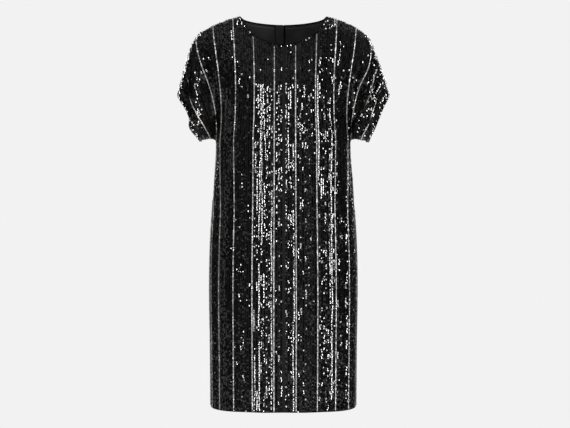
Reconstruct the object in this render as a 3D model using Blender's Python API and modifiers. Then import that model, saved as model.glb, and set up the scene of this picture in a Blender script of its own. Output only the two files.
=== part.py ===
"""A knee-length shift dress with short grown-on sleeves, filled out as it is worn.

Metres, +Z up. The dress faces -Y. The origin is the middle of the neck opening,
level with the two neck points, where the wearer's shoulders carry the dress.
Every panel is a cloth wall through sections worked out from the sizes below.
"across" is the distance over the cloth from the centre line and "down" runs
from 0 at a panel's top edge to 1 at the level of the underarm.
"""

import math

import bmesh
import bpy
import numpy as np

# Cut and fit of the dress
neck_half = 0.109
front_neck_drop = 0.081
back_neck_drop = 0.017
front_neck_power = 1.75
back_neck_power = 1.75
underarm_z = -0.3155
hem_z = -0.9885
hem_rise = 0.006
sleeve_hem_across = 0.387
chest_half_width = 0.1685
section_power = 2.4
cloth = 0.002
seam = 0.0003

# How far down the rounding of the shoulder reaches, front and back
shoulder_reach = {"front": 0.19, "back": 0.16}
arm_radius = 0.056
arm_depth = 0.054
underarm_radius = 0.035

# The body's sections, from the neck points to the hem
body_sections = [
    {"z": 0.0, "half_width": 0.1685, "front": 0.112, "back": 0.098},
    {"z": -0.10, "half_width": 0.1685, "front": 0.114, "back": 0.102},
    {"z": -0.20, "half_width": 0.1685, "front": 0.120, "back": 0.105},
    {"z": -0.27, "half_width": 0.1685, "front": 0.123, "back": 0.103},
    {"z": -0.34, "half_width": 0.1685, "front": 0.121, "back": 0.100},
    {"z": -0.46, "half_width": 0.1770, "front": 0.116, "back": 0.099},
    {"z": -0.58, "half_width": 0.1842, "front": 0.114, "back": 0.109},
    {"z": -0.69, "half_width": 0.1860, "front": 0.115, "back": 0.119},
    {"z": -0.82, "half_width": 0.1842, "front": 0.116, "back": 0.120},
    {"z": -0.9885, "half_width": 0.1828, "front": 0.114, "back": 0.117},
]

# The shoulder and the outer line of each sleeve, seen from the front. The last
# two rows carry the line on past the sleeve's hem, to shape the opening.
outer_lines = {
    -1: [
        {"x": 0.109, "z": 0.0},
        {"x": 0.139, "z": -0.0080},
        {"x": 0.179, "z": -0.0240},
        {"x": 0.206, "z": -0.0400},
        {"x": 0.2225, "z": -0.0560},
        {"x": 0.2335, "z": -0.0840},
        {"x": 0.2425, "z": -0.1100},
        {"x": 0.2560, "z": -0.1600},
        {"x": 0.2665, "z": -0.2004},
        {"x": 0.2780, "z": -0.2500},
        {"x": 0.2910, "z": -0.3200},
    ],
    1: [
        {"x": 0.109, "z": 0.0},
        {"x": 0.139, "z": -0.0085},
        {"x": 0.176, "z": -0.0240},
        {"x": 0.200, "z": -0.0400},
        {"x": 0.2155, "z": -0.0570},
        {"x": 0.2280, "z": -0.0840},
        {"x": 0.2375, "z": -0.1100},
        {"x": 0.2550, "z": -0.1600},
        {"x": 0.2667, "z": -0.2004},
        {"x": 0.2780, "z": -0.2500},
        {"x": 0.2910, "z": -0.3200},
    ],
}
outer_line_past_hem = 2

# Where the grain lines of each sleeve lie, seen from the front, at quarters of
# the way down, and the height of the seam under the sleeve
sleeve_grain = {
    -1: [
        {
            "across": 0.187, "quarter": 0.1730, "half": 0.1622,
            "three": 0.1564, "foot": 0.0, "foot_z": 0.0,
        },
        {
            "across": 0.237, "quarter": 0.2090, "half": 0.1850,
            "three": 0.1712, "foot": 0.1688, "foot_z": -0.3155,
        },
        {
            "across": 0.293, "quarter": 0.2333, "half": 0.2260,
            "three": 0.2030, "foot": 0.1790, "foot_z": -0.3090,
        },
        {
            "across": 0.346, "quarter": 0.2454, "half": 0.2330,
            "three": 0.2190, "foot": 0.1985, "foot_z": -0.3100,
        },
        {
            "across": 0.387, "quarter": 0.2490, "half": 0.2350,
            "three": 0.2335, "foot": 0.2120, "foot_z": -0.3145,
        },
    ],
    1: [
        {
            "across": 0.187, "quarter": 0.1730, "half": 0.1622,
            "three": 0.1564, "foot": 0.0, "foot_z": 0.0,
        },
        {
            "across": 0.237, "quarter": 0.2120, "half": 0.1850,
            "three": 0.1725, "foot": 0.1688, "foot_z": -0.3155,
        },
        {
            "across": 0.293, "quarter": 0.2255, "half": 0.2120,
            "three": 0.1900, "foot": 0.1770, "foot_z": -0.3095,
        },
        {
            "across": 0.346, "quarter": 0.2385, "half": 0.2250,
            "three": 0.2140, "foot": 0.1965, "foot_z": -0.3110,
        },
        {
            "across": 0.387, "quarter": 0.2525, "half": 0.2400,
            "three": 0.2280, "foot": 0.2160, "foot_z": -0.3165,
        },
    ],
}

# Folds of the sleeves: a trough has a depth over 0, a ridge under 0
sleeve_folds = [
    {
        "face": "front", "side": -1, "width": 0.0085, "depth": 0.016,
        "top": (0.232, -0.100), "foot": (0.236, -0.225),
    },
    {
        "face": "front", "side": -1, "width": 0.0090, "depth": -0.008,
        "top": (0.212, -0.090), "foot": (0.214, -0.240),
    },
    {
        "face": "front", "side": -1, "width": 0.0090, "depth": 0.015,
        "top": (0.200, -0.150), "foot": (0.183, -0.285),
    },
    {
        "face": "front", "side": -1, "width": 0.0110, "depth": -0.006,
        "top": (0.226, -0.262), "foot": (0.200, -0.302),
    },
    {
        "face": "front", "side": 1, "width": 0.0095, "depth": 0.016,
        "top": (0.219, -0.100), "foot": (0.230, -0.235),
    },
    {
        "face": "front", "side": 1, "width": 0.0085, "depth": -0.008,
        "top": (0.206, -0.120), "foot": (0.204, -0.260),
    },
    {
        "face": "front", "side": 1, "width": 0.0085, "depth": 0.014,
        "top": (0.192, -0.160), "foot": (0.182, -0.282),
    },
    {
        "face": "front", "side": 1, "width": 0.0110, "depth": -0.006,
        "top": (0.232, -0.260), "foot": (0.206, -0.302),
    },
    {
        "face": "back", "side": -1, "width": 0.0100, "depth": 0.013,
        "top": (0.228, -0.110), "foot": (0.230, -0.230),
    },
    {
        "face": "back", "side": -1, "width": 0.0100, "depth": 0.014,
        "top": (0.194, -0.140), "foot": (0.184, -0.280),
    },
    {
        "face": "back", "side": 1, "width": 0.0100, "depth": 0.013,
        "top": (0.224, -0.105), "foot": (0.231, -0.235),
    },
    {
        "face": "back", "side": 1, "width": 0.0100, "depth": 0.013,
        "top": (0.196, -0.150), "foot": (0.184, -0.278),
    },
]
fold_fade = 0.030
fold_edge = 0.026

# Soft upright flutes of the body below the bust, by their place across
body_flutes = [
    {"face": "front", "across": -0.150, "width": 0.020, "depth": -0.0025, "top_z": -0.36},
    {"face": "front", "across": -0.095, "width": 0.018, "depth": 0.0030, "top_z": -0.34},
    {"face": "front", "across": -0.048, "width": 0.016, "depth": -0.0030, "top_z": -0.30},
    {"face": "front", "across": 0.000, "width": 0.018, "depth": 0.0030, "top_z": -0.40},
    {"face": "front", "across": 0.050, "width": 0.017, "depth": -0.0028, "top_z": -0.32},
    {"face": "front", "across": 0.100, "width": 0.019, "depth": 0.0030, "top_z": -0.38},
    {"face": "front", "across": 0.150, "width": 0.020, "depth": -0.0028, "top_z": -0.34},
    {"face": "back", "across": -0.135, "width": 0.024, "depth": 0.0030, "top_z": -0.42},
    {"face": "back", "across": -0.075, "width": 0.024, "depth": -0.0025, "top_z": -0.36},
    {"face": "back", "across": 0.080, "width": 0.024, "depth": -0.0025, "top_z": -0.38},
    {"face": "back", "across": 0.140, "width": 0.024, "depth": 0.0030, "top_z": -0.40},
]
flute_rise = 0.22

# Steps of the sections: distances across the body, and counts
body_steps = (0.0, 0.018, 0.036, 0.055, 0.074, 0.092, neck_half, 0.133, 0.155, 0.175, 0.193, 0.209, 0.224)
sleeve_steps = 14
upper_rows = 16
lower_rows = 15

# The lining inside the back neck, and the closing at the centre back
lining_cloth = 0.001
lining_rows = (1, 9)
lining_columns = 9
notch_half = 0.0009
notch_foot_z = -0.052
notch_rise = 0.018
tape_cloth = 0.0008
tape_width = 0.011
tape_rows = (1, 22)
slider_z = -0.034
slider_width = 0.0064
slider_height = 0.0085
slider_depth = 0.0024
neck_plate = 0.0012
eye_radius = 0.0011
eye_wall = 0.0011
pin_radius = 0.0007
tab_length = 0.022
tab_width = 0.0056
tab_plate = 0.0012
tab_gap = 0.0006

dress_colours = {
    "cloth": ((0.012, 0.012, 0.013, 1.0), 0.42, 0.0),
    "lining": ((0.022, 0.022, 0.024, 1.0), 0.75, 0.0),
    "tape": ((0.010, 0.010, 0.011, 1.0), 0.80, 0.0),
    "metal": ((0.020, 0.020, 0.022, 1.0), 0.35, 0.6),
}


def eased(value):
    """0 below 0, 1 above 1, and a soft step between them."""
    held = np.clip(value, 0.0, 1.0)
    return held * held * (3.0 - 2.0 * held)


def along(rows, key, name, at):
    """A smooth curve through a table's column, read at places of another column."""
    places = np.array([row[key] for row in rows])
    values = np.array([row[name] for row in rows])
    if places[0] > places[-1]:
        places, values = places[::-1], values[::-1]
    return smooth_curve(places, values, at)


def smooth_curve(places, values, at):
    """Cubic pieces through values at rising places, level past both ends."""
    slopes = np.gradient(values, places)
    held = np.clip(at, places[0], places[-1])
    index = np.clip(np.searchsorted(places, held, side="right") - 1, 0, len(places) - 2)
    step = places[index + 1] - places[index]
    part = (held - places[index]) / step
    start = values[index] * (1 + 2 * part) * (1 - part) ** 2
    end = values[index + 1] * part**2 * (3 - 2 * part)
    lean = slopes[index] * part * (1 - part) ** 2 - slopes[index + 1] * part**2 * (1 - part)
    return start + end + lean * step


def outer_x(side, z):
    """How far out the silhouette of one side is at a height."""
    rows = outer_lines[side]
    heights = np.array([row["z"] for row in rows])[::-1]
    places = np.array([row["x"] for row in rows])[::-1]
    return np.interp(z, heights, places)


def outer_z(side, x):
    """How high the silhouette of one side is at a distance out."""
    rows = outer_lines[side]
    return np.interp(x, [row["x"] for row in rows], [row["z"] for row in rows])


def top_edge(face, side, across):
    """Where a grain line starts: on the neckline, or on the seam over the sleeve."""
    drop = front_neck_drop if face == "front" else back_neck_drop
    power = front_neck_power if face == "front" else back_neck_power
    share = np.clip(across / neck_half, 0.0, 1.0)
    neck_z = -drop * (1.0 - share**power) ** (1.0 / power)
    rows = outer_lines[side][:-outer_line_past_hem]
    points = np.array([(row["x"], row["z"]) for row in rows])
    lengths = np.concatenate([[0.0], np.cumsum(np.linalg.norm(np.diff(points, axis=0), axis=1))])
    share = (across - neck_half) / (sleeve_hem_across - neck_half) * lengths[-1]
    x = np.where(across <= neck_half, across, np.interp(share, lengths, points[:, 0]))
    z = np.where(across <= neck_half, neck_z, np.interp(share, lengths, points[:, 1]))
    return x, z


def section(face, z, share):
    """A point of the body's section, at a share of the way from its centre to its side."""
    half = along(body_sections, "z", "half_width", z)
    depth = along(body_sections, "z", face, z)
    turn = np.linspace(0.0, math.pi / 2, 160)
    x = half * np.sin(turn) ** (2.0 / section_power)
    y = depth * np.cos(turn) ** (2.0 / section_power)
    lengths = np.concatenate([[0.0], np.cumsum(np.hypot(np.diff(x), np.diff(y)))])
    at = share * lengths[-1]
    return np.interp(at, lengths, x), np.interp(at, lengths, y), lengths[-1]


def dolman_depth(face, side, x, z):
    """Half the thickness where body and sleeve are one rounded form."""
    depth = along(body_sections, "z", face, z)
    drop = np.clip((outer_z(side, x) - z) / shoulder_reach[face], 0.0, 1.0)
    over = np.sqrt(np.clip(1.0 - (1.0 - drop) ** 2, 1e-6, 1.0))
    out = np.clip(x / outer_x(side, z), 0.0, 1.0)
    sideways = np.clip(1.0 - out**2.2, 1e-6, 1.0) ** (1.0 / 2.2)
    return depth * (over**-6 + sideways**-6 - 1.0) ** (-1.0 / 6.0)


def parted_depth(face, side, x, z):
    """Half the thickness where the sleeve parts from the body, above the underarm."""
    depth = along(body_sections, "z", face, z)
    body_share = np.clip(x / chest_half_width, 0.0, 1.0)
    body = depth * (1.0 - body_share**section_power) ** (1.0 / section_power)
    arm_x = outer_x(side, z) - arm_radius
    arm = arm_depth * np.sqrt(np.clip(1.0 - ((x - arm_x) / arm_radius) ** 2, 0.0, 1.0))
    bridge = (0.010 + 0.5 * np.clip(z - underarm_z, 0.0, 1.0)) * eased((arm_x - x) / 0.04)
    return (body + arm + np.sqrt((body - arm) ** 2 + bridge**2)) / 2


def folds(face, side, x, z):
    """How far the folds of one sleeve sink the cloth in."""
    sunk = np.zeros_like(x)
    for fold in sleeve_folds:
        if fold["face"] != face or fold["side"] != side:
            continue
        top_x, top_z = fold["top"]
        run_x, run_z = fold["foot"][0] - top_x, fold["foot"][1] - top_z
        length = math.hypot(run_x, run_z)
        on = ((x - top_x) * run_x + (z - top_z) * run_z) / length
        off = ((x - top_x) * run_z - (z - top_z) * run_x) / length
        ends = eased(on / fold_fade) * eased((length - on) / fold_fade)
        sunk += fold["depth"] * ends * np.exp(-((off / fold["width"]) ** 2))
    return sunk


def flutes(face, side, across, z):
    """How far the upright flutes sink the cloth in, at a place across the body."""
    sunk = np.zeros_like(z)
    for flute in body_flutes:
        if flute["face"] == face:
            near = np.exp(-(((side * across - flute["across"]) / flute["width"]) ** 2))
            sunk += flute["depth"] * near * eased((flute["top_z"] - z) / flute_rise)
    return sunk


def upper_points(face, side, across, down):
    """The cloth's outer face above the underarm, one side, for equal arrays of places."""
    top_x, top_z = top_edge(face, side, across)
    grain = sleeve_grain[side]
    side_seam = grain[1]["across"]
    foot_x = section(face, underarm_z, np.clip(across / side_seam, 0.0, 1.0))[0]
    sleeve = across > side_seam
    foot_x = np.where(sleeve, along(grain[1:], "across", "foot", across), foot_x)
    foot_z = np.where(sleeve, along(grain[1:], "across", "foot_z", across), underarm_z)
    plain = top_x + (foot_x - top_x) * eased(down)
    moved = np.zeros_like(plain)
    knots = np.array([row["across"] for row in grain])
    knot_top = top_edge(face, side, knots)[0]
    knot_foot = section(face, underarm_z, np.clip(knots / side_seam, 0.0, 1.0))[0]
    knot_foot[1:] = [row["foot"] for row in grain[1:]]
    shifts = [np.zeros(len(knots))]
    for name, quarter in (("quarter", 0.25), ("half", 0.5), ("three", 0.75)):
        shifts.append([row[name] for row in grain] - (knot_top + (knot_foot - knot_top) * eased(quarter)))
    shifts.append(np.zeros(len(knots)))
    fading = np.where(across < knots[0], eased(across / knots[0]), 1.0)
    at_quarters = [smooth_curve(knots, np.array(shift), across) * fading for shift in shifts]
    quarters = np.linspace(0.0, 1.0, 5)
    for index in np.ndindex(across.shape):
        moved[index] = smooth_curve(quarters, np.array([shift[index] for shift in at_quarters]), down[index])
    x = plain + moved
    z = top_z + (foot_z - top_z) * down
    apart = eased((-0.13 - z) / 0.11)
    y = dolman_depth(face, side, x, z) * (1 - apart) + parted_depth(face, side, x, z) * apart
    rise = np.clip((1.0 - down) * (top_z - foot_z) / underarm_radius, 0.0, 1.0)
    y = np.where(sleeve, y * np.sqrt(np.clip(1.0 - (1.0 - rise) ** 2, 0.0, 1.0)), y)
    y = y - folds(face, side, x, z) * np.clip(y / fold_edge, 0.0, 1.0)
    y = y - flutes(face, side, across, z) * eased(y / 0.06)
    return np.stack([side * x, y if face == "back" else -y, z], axis=-1)


def lower_points(face, side, shares, heights):
    """The cloth's outer face from the underarm to the hem, which rises to the side seams."""
    points = np.zeros((len(shares), len(heights), 3))
    for row, z in enumerate(heights):
        x, y, length = section(face, z, np.array(shares))
        sunk = flutes(face, side, np.array(shares) * length, np.full(len(shares), z))
        y = y - sunk * eased(y / 0.06)
        fallen = (underarm_z - z) / (underarm_z - hem_z)
        raised = z + hem_rise * fallen * np.array(shares) ** 4
        points[:, row] = np.stack([side * x, y if face == "back" else -y, raised], axis=-1)
    return points


def panel_grid(face, side):
    """Points of one side of a face: columns from the centre out, rows from the top down.

    Rows past the underarm are not a number on the sleeve's columns.
    """
    side_seam = sleeve_grain[side][1]["across"]
    sleeve = np.linspace(side_seam, sleeve_hem_across, sleeve_steps + 1)
    columns = np.concatenate([body_steps, sleeve])
    even = np.linspace(0.0, 1.0, upper_rows + 1)
    down = 0.65 * (1 - np.cos(math.pi * even)) / 2 + 0.35 * even
    across, downs = np.meshgrid(columns, down, indexing="ij")
    upper = upper_points(face, side, across, downs)
    heights = np.linspace(underarm_z, hem_z, lower_rows + 1)[1:]
    body_columns = len(body_steps) + 1
    lower = np.full((len(columns), lower_rows, 3), np.nan)
    lower[:body_columns] = lower_points(face, side, columns[:body_columns] / side_seam, heights)
    grid = np.concatenate([upper, lower], axis=1)
    seam_y = seam / 2 if face == "back" else -seam / 2
    neck_column = body_steps.index(neck_half)
    grid[neck_column:, 0, 1] = seam_y
    grid[body_columns - 1 :, upper_rows, 1] = seam_y
    grid[body_columns - 1, upper_rows:, 1] = seam_y
    if face == "back":
        grid[0, :, 0] = side * centre_gap(grid[0, :, 2])
    return grid


def centre_gap(z):
    """Half the gap of the centre back seam, which opens in a notch at the neck."""
    return seam / 2 + notch_half * eased((z - notch_foot_z) / notch_rise)


def grid_cells(grid, turned):
    """Cells between finite points, wound so that their normals face outwards."""
    count = grid.shape[1]
    cells = []
    for column in range(grid.shape[0] - 1):
        for row in range(count - 1):
            corner = column * count + row
            cell = [corner, corner + 1, corner + count + 1, corner + count]
            if np.isfinite(grid.reshape(-1, 3)[cell]).all():
                cells.append(cell[::-1] if turned else cell)
    return cells


def point_normals(points, cells):
    """Normals of the cloth at each point, as means of the cells around it."""
    normals = np.zeros_like(points)
    for cell in cells:
        corners = points[cell]
        facing = np.cross(corners[2] - corners[0], corners[3] - corners[1])
        for corner in cell:
            normals[corner] += facing
    lengths = np.linalg.norm(normals, axis=1, keepdims=True)
    return normals / np.where(lengths > 0, lengths, 1.0)


def cloth_wall(name, points, cells, fixed, outside, inside, finish):
    """A wall between two depths below the cloth's outer face, closed round its edge.

    fixed lists which axis stays put at a point, so that seam edges stay flat.
    """
    normals = point_normals(points, cells)
    for point, axis in fixed:
        normals[point, axis] = 0.0
        normals[point] /= np.linalg.norm(normals[point])
    used = sorted({corner for cell in cells for corner in cell})
    mesh = bmesh.new()
    outer = {i: mesh.verts.new(points[i] - normals[i] * outside[i]) for i in used}
    inner = {i: mesh.verts.new(points[i] - normals[i] * inside[i]) for i in used}
    edges = {}
    for cell in cells:
        mesh.faces.new([outer[i] for i in cell])
        mesh.faces.new([inner[i] for i in reversed(cell)])
        for start, end in zip(cell, cell[1:] + cell[:1]):
            if edges.pop((end, start), None) is None:
                edges[(start, end)] = True
    for start, end in edges:
        mesh.faces.new([outer[end], outer[start], inner[start], inner[end]])
    bmesh.ops.triangulate(mesh, faces=mesh.faces[:])
    return add_object(name, mesh, finish)


def add_object(name, mesh, finish):
    """Puts a bmesh in the dress's collection as a named object with its material."""
    data = bpy.data.meshes.new(name)
    mesh.to_mesh(data)
    mesh.free()
    shape = bpy.data.objects.new(name, data)
    parts.objects.link(shape)
    data.materials.append(materials[finish])
    return shape


def seam_points(grid, face, column_of):
    """Which points of a grid lie on seams, and the axis that their edge keeps."""
    count = grid.shape[1]
    neck_column = body_steps.index(neck_half)
    side_column = len(body_steps)
    fixed = []
    for column in range(grid.shape[0]):
        out = column_of(column)
        for row in range(count):
            on_top = row == 0 and out >= neck_column
            on_side = out == side_column and row >= upper_rows
            under = row == upper_rows and out >= side_column
            if on_top or on_side or under:
                fixed.append((column * count + row, 1))
            if face == "back" and out == 0:
                fixed.append((column * count + row, 0))
    return fixed


def build_front():
    """The front, cut in one piece with the front halves of both sleeves."""
    left, right = panel_grid("front", -1), panel_grid("front", 1)
    grid = np.concatenate([left[:0:-1], right])
    middle = len(left) - 1
    points = grid.reshape(-1, 3)
    fixed = seam_points(grid, "front", lambda column: abs(column - middle))
    depths = np.zeros(len(points))
    cloth_wall("front", points, grid_cells(grid, False), fixed, depths, depths + cloth, "cloth")


def build_back(side, name):
    """Half of the back, with the back half of its sleeve."""
    grid = panel_grid("back", side)
    points = grid.reshape(-1, 3)
    fixed = seam_points(grid, "back", lambda column: column)
    depths = np.zeros(len(points))
    cells = grid_cells(grid, side > 0)
    cloth_wall("back_" + name, points, cells, fixed, depths, depths + cloth, "cloth")
    return grid


def build_lining(side, name, grid):
    """The smooth lining that shows inside the back neck, under the zip's tape at its edge."""
    first, last = lining_rows
    piece = grid[: lining_columns + 1, first : last + 1].copy()
    edge = 0.0042
    share = (edge - np.abs(piece[0, :, 0])) / (np.abs(piece[1, :, 0]) - np.abs(piece[0, :, 0]))
    piece[0] += (piece[1] - piece[0]) * share[:, None]
    points = piece.reshape(-1, 3)
    over_tape = 1.0 - eased((np.abs(points[:, 0]) - 0.030) / 0.030)
    depths = cloth + seam + over_tape * (tape_cloth + seam)
    cells = grid_cells(piece, side > 0)
    cloth_wall("back_lining_" + name, points, cells, [], depths, depths + lining_cloth, "lining")


def build_tape(side, name, grid):
    """One tape of the concealed zip, along the inside of the centre back seam."""
    first, last = tape_rows
    piece = grid[:2, first : last + 1].copy()
    width = np.abs(piece[1, :, 0]) - np.abs(piece[0, :, 0])
    piece[1] = piece[0] + (piece[1] - piece[0]) * (tape_width / width)[:, None]
    points = piece.reshape(-1, 3)
    fixed = [(row, 0) for row in range(piece.shape[1])]
    depths = np.full(len(points), cloth + seam)
    cells = grid_cells(piece, side > 0)
    cloth_wall("zip_tape_" + name, points, cells, fixed, depths, depths + tape_cloth, "tape")


def outline_plate(name, outlines, thickness):
    """A flat plate from closed outlines in its own XY plane, as a mesh object."""
    curve = bpy.data.curves.new(name, "CURVE")
    curve.dimensions = "2D"
    curve.fill_mode = "BOTH"
    curve.extrude = thickness / 2
    for outline in outlines:
        spline = curve.splines.new("POLY")
        spline.points.add(len(outline) - 1)
        spline.use_cyclic_u = True
        for point, (x, y) in zip(spline.points, outline):
            point.co = (x, y, 0.0, 1.0)
    drawn = bpy.data.objects.new(name, curve)
    parts.objects.link(drawn)
    bpy.context.view_layer.update()
    seen = drawn.evaluated_get(bpy.context.evaluated_depsgraph_get())
    data = bpy.data.meshes.new_from_object(seen)
    parts.objects.unlink(drawn)
    bpy.data.objects.remove(drawn)
    mesh = bmesh.new()
    mesh.from_mesh(data)
    bpy.data.meshes.remove(data)
    bmesh.ops.remove_doubles(mesh, verts=mesh.verts[:], dist=1e-6)
    return mesh


def ring(radius, count, centre=(0.0, 0.0), start=0.0, turn=math.tau):
    """Points round an arc."""
    ends = count if turn == math.tau else count - 1
    angles = [start + turn * step / ends for step in range(count)]
    return [(centre[0] + radius * math.cos(a), centre[1] + radius * math.sin(a)) for a in angles]


def join_meshes(shape, others):
    """Unites closed shapes into one body with Boolean modifiers, applied."""
    for other in others:
        step = shape.modifiers.new("join", "BOOLEAN")
        step.operation = "UNION"
        step.solver = "EXACT"
        step.object = other
        bpy.context.view_layer.update()
        seen = shape.evaluated_get(bpy.context.evaluated_depsgraph_get())
        joined = bpy.data.meshes.new_from_object(seen)
        shape.modifiers.clear()
        shape.data = joined
        bpy.data.objects.remove(other)


def back_slope(grid, z):
    """Place and lean of the cloth's outer face at the centre back."""
    heights, depths = grid[0, ::-1, 2], grid[0, ::-1, 1]
    y = np.interp(z, heights, depths)
    lower, upper = np.interp([z - 0.012, z + 0.004], heights, depths)
    return y, math.atan2(lower - upper, 0.016)


def build_slider(y, lean):
    """The slider behind the seam, with its neck and eye through the notch."""
    inside = cloth + seam + tape_cloth + seam
    bpy.ops.mesh.primitive_cube_add(size=1.0, location=(0.0, -inside - slider_depth / 2, 0.0))
    body = bpy.context.object
    body.name = "zip_slider"
    body.dimensions = (slider_width, slider_depth, slider_height)
    bpy.ops.object.transform_apply(location=True, rotation=False, scale=True)
    bevel = body.modifiers.new("soft edges", "BEVEL")
    bevel.width = 0.0006
    bevel.segments = 2
    reach = eye_radius + eye_wall
    outer = ring(reach, 9, (pivot_out, 0.0), -math.pi / 2, math.pi)
    inner_end = -inside - slider_depth / 2
    outer += [(inner_end, reach), (inner_end, -reach)]
    hole = ring(eye_radius, 12, (pivot_out, 0.0))
    plate = outline_plate("neck", [outer, hole], neck_plate)
    for vert in plate.verts:
        across, up, thick = vert.co
        vert.co = (thick, across, up)
    bmesh.ops.recalc_face_normals(plate, faces=plate.faces[:])
    neck = add_object("neck", plate, "metal")
    for collection in list(body.users_collection):
        collection.objects.unlink(body)
    parts.objects.link(body)
    body.data.materials.append(materials["metal"])
    bpy.context.view_layer.update()
    join_meshes(body, [neck])
    body.rotation_euler = (lean, 0.0, 0.0)
    body.location = (0.0, y, slider_z)


def build_tab(y, lean):
    """The pull tab: a drop-shaped plate with two ears and the pin through the eye."""
    plate_y = -pivot_out + tab_gap + tab_plate / 2
    half = tab_width / 2
    ear_top = 0.0016
    outline = [(-0.0021, -0.0026), (-0.0024, -0.0070)]
    outline += [(-half * 0.94, -tab_length + 0.0050)]
    outline += ring(half, 9, (0.0, -tab_length + half), math.pi, math.pi)
    outline += [(half * 0.94, -tab_length + 0.0050), (0.0024, -0.0070), (0.0021, -0.0026)]
    hole = ring(0.0011, 10, (0.0, -tab_length + half))
    plate = outline_plate("tab", [outline, hole], tab_plate)
    for vert in plate.verts:
        across, up, thick = vert.co
        vert.co = (across, plate_y + thick, up)
    bmesh.ops.recalc_face_normals(plate, faces=plate.faces[:])
    tab = add_object("zip_pull_tab", plate, "metal")
    gap = neck_plate / 2 + seam
    wall = 0.0011
    pieces = []
    for side in (-1, 1):
        low_y, high_y = plate_y - tab_plate / 2, pin_radius + 0.0005
        size = (wall, high_y - low_y, 0.0045 + ear_top)
        middle = (side * (gap + wall / 2), (low_y + high_y) / 2, (ear_top - 0.0045) / 2)
        bpy.ops.mesh.primitive_cube_add(size=1.0, location=middle)
        ear = bpy.context.object
        ear.dimensions = size
        bpy.ops.object.transform_apply(location=True, rotation=False, scale=True)
        pieces.append(ear)
    bpy.ops.mesh.primitive_cylinder_add(
        vertices=12, radius=pin_radius, depth=2 * gap + wall, rotation=(0.0, math.pi / 2, 0.0)
    )
    pin = bpy.context.object
    bpy.ops.object.transform_apply(location=True, rotation=True, scale=True)
    pieces.append(pin)
    bpy.context.view_layer.update()
    join_meshes(tab, pieces)
    tab.rotation_euler = (lean, 0.0, 0.0)
    tab.location = pivot_place(y, lean)


def pivot_place(y, lean):
    """Where the tab's pin lies, out from the cloth at the slider's height."""
    return (0.0, y + pivot_out * math.cos(lean), slider_z + pivot_out * math.sin(lean))


def make_material(name, look):
    """A plain Principled material."""
    colour, rough, metal = look
    made = bpy.data.materials.new(name)
    made.use_nodes = True
    shader = made.node_tree.nodes["Principled BSDF"]
    shader.inputs["Base Color"].default_value = colour
    shader.inputs["Roughness"].default_value = rough
    shader.inputs["Metallic"].default_value = metal
    return made


# How far out from the cloth the tab's pin lies
pivot_out = 0.0030

for old in list(bpy.data.objects):
    bpy.data.objects.remove(old)
parts = bpy.data.collections.new("sequin_dress")
bpy.context.scene.collection.children.link(parts)
materials = {name: make_material(name, look) for name, look in dress_colours.items()}

build_front()
for side, name in ((-1, "left"), (1, "right")):
    back_grid = build_back(side, name)
    build_lining(side, name, back_grid)
    build_tape(side, name, back_grid)
back_y, back_lean = back_slope(back_grid, slider_z)
build_slider(back_y, back_lean)
build_tab(back_y, back_lean)
for shape in parts.objects:
    shape.data.shade_smooth()
    shape.data.set_sharp_from_angle(angle=math.radians(40))
print("pull tab turns about X at", [round(value, 5) for value in pivot_place(back_y, back_lean)])
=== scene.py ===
import math

import bpy
import numpy as np
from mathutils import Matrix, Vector


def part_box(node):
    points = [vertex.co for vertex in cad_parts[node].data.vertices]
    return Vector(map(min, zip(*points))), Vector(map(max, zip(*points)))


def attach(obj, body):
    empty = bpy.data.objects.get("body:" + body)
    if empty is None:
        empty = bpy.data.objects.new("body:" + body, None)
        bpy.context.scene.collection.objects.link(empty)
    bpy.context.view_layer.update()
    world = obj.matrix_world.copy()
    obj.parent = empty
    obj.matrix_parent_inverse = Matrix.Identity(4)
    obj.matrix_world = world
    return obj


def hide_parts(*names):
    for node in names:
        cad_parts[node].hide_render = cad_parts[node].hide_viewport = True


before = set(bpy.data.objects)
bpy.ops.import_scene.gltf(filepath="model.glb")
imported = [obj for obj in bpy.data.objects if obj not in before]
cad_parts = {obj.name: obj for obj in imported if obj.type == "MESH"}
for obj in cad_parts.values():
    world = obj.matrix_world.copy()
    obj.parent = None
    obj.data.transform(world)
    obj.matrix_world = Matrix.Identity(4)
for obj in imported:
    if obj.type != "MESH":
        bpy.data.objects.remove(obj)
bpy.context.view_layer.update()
scene = bpy.context.scene
print("frame loaded", sorted(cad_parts))

# The photograph was taken from far off, level with the middle of the dress
cameraValues = {"place": (0.0041, -4.5, -0.499), "widthSeen": 1.4423, "sensor": 36.0}


def addCamera():
    bpy.ops.object.camera_add(location=cameraValues["place"], rotation=(math.pi / 2, 0.0, 0.0))
    camera = bpy.context.object
    camera.name = "photoCamera"
    camera.data.sensor_width = cameraValues["sensor"]
    camera.data.lens = -cameraValues["sensor"] * cameraValues["place"][1] / cameraValues["widthSeen"]
    camera.data.clip_end = 60.0
    scene.camera = camera


addCamera()

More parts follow.
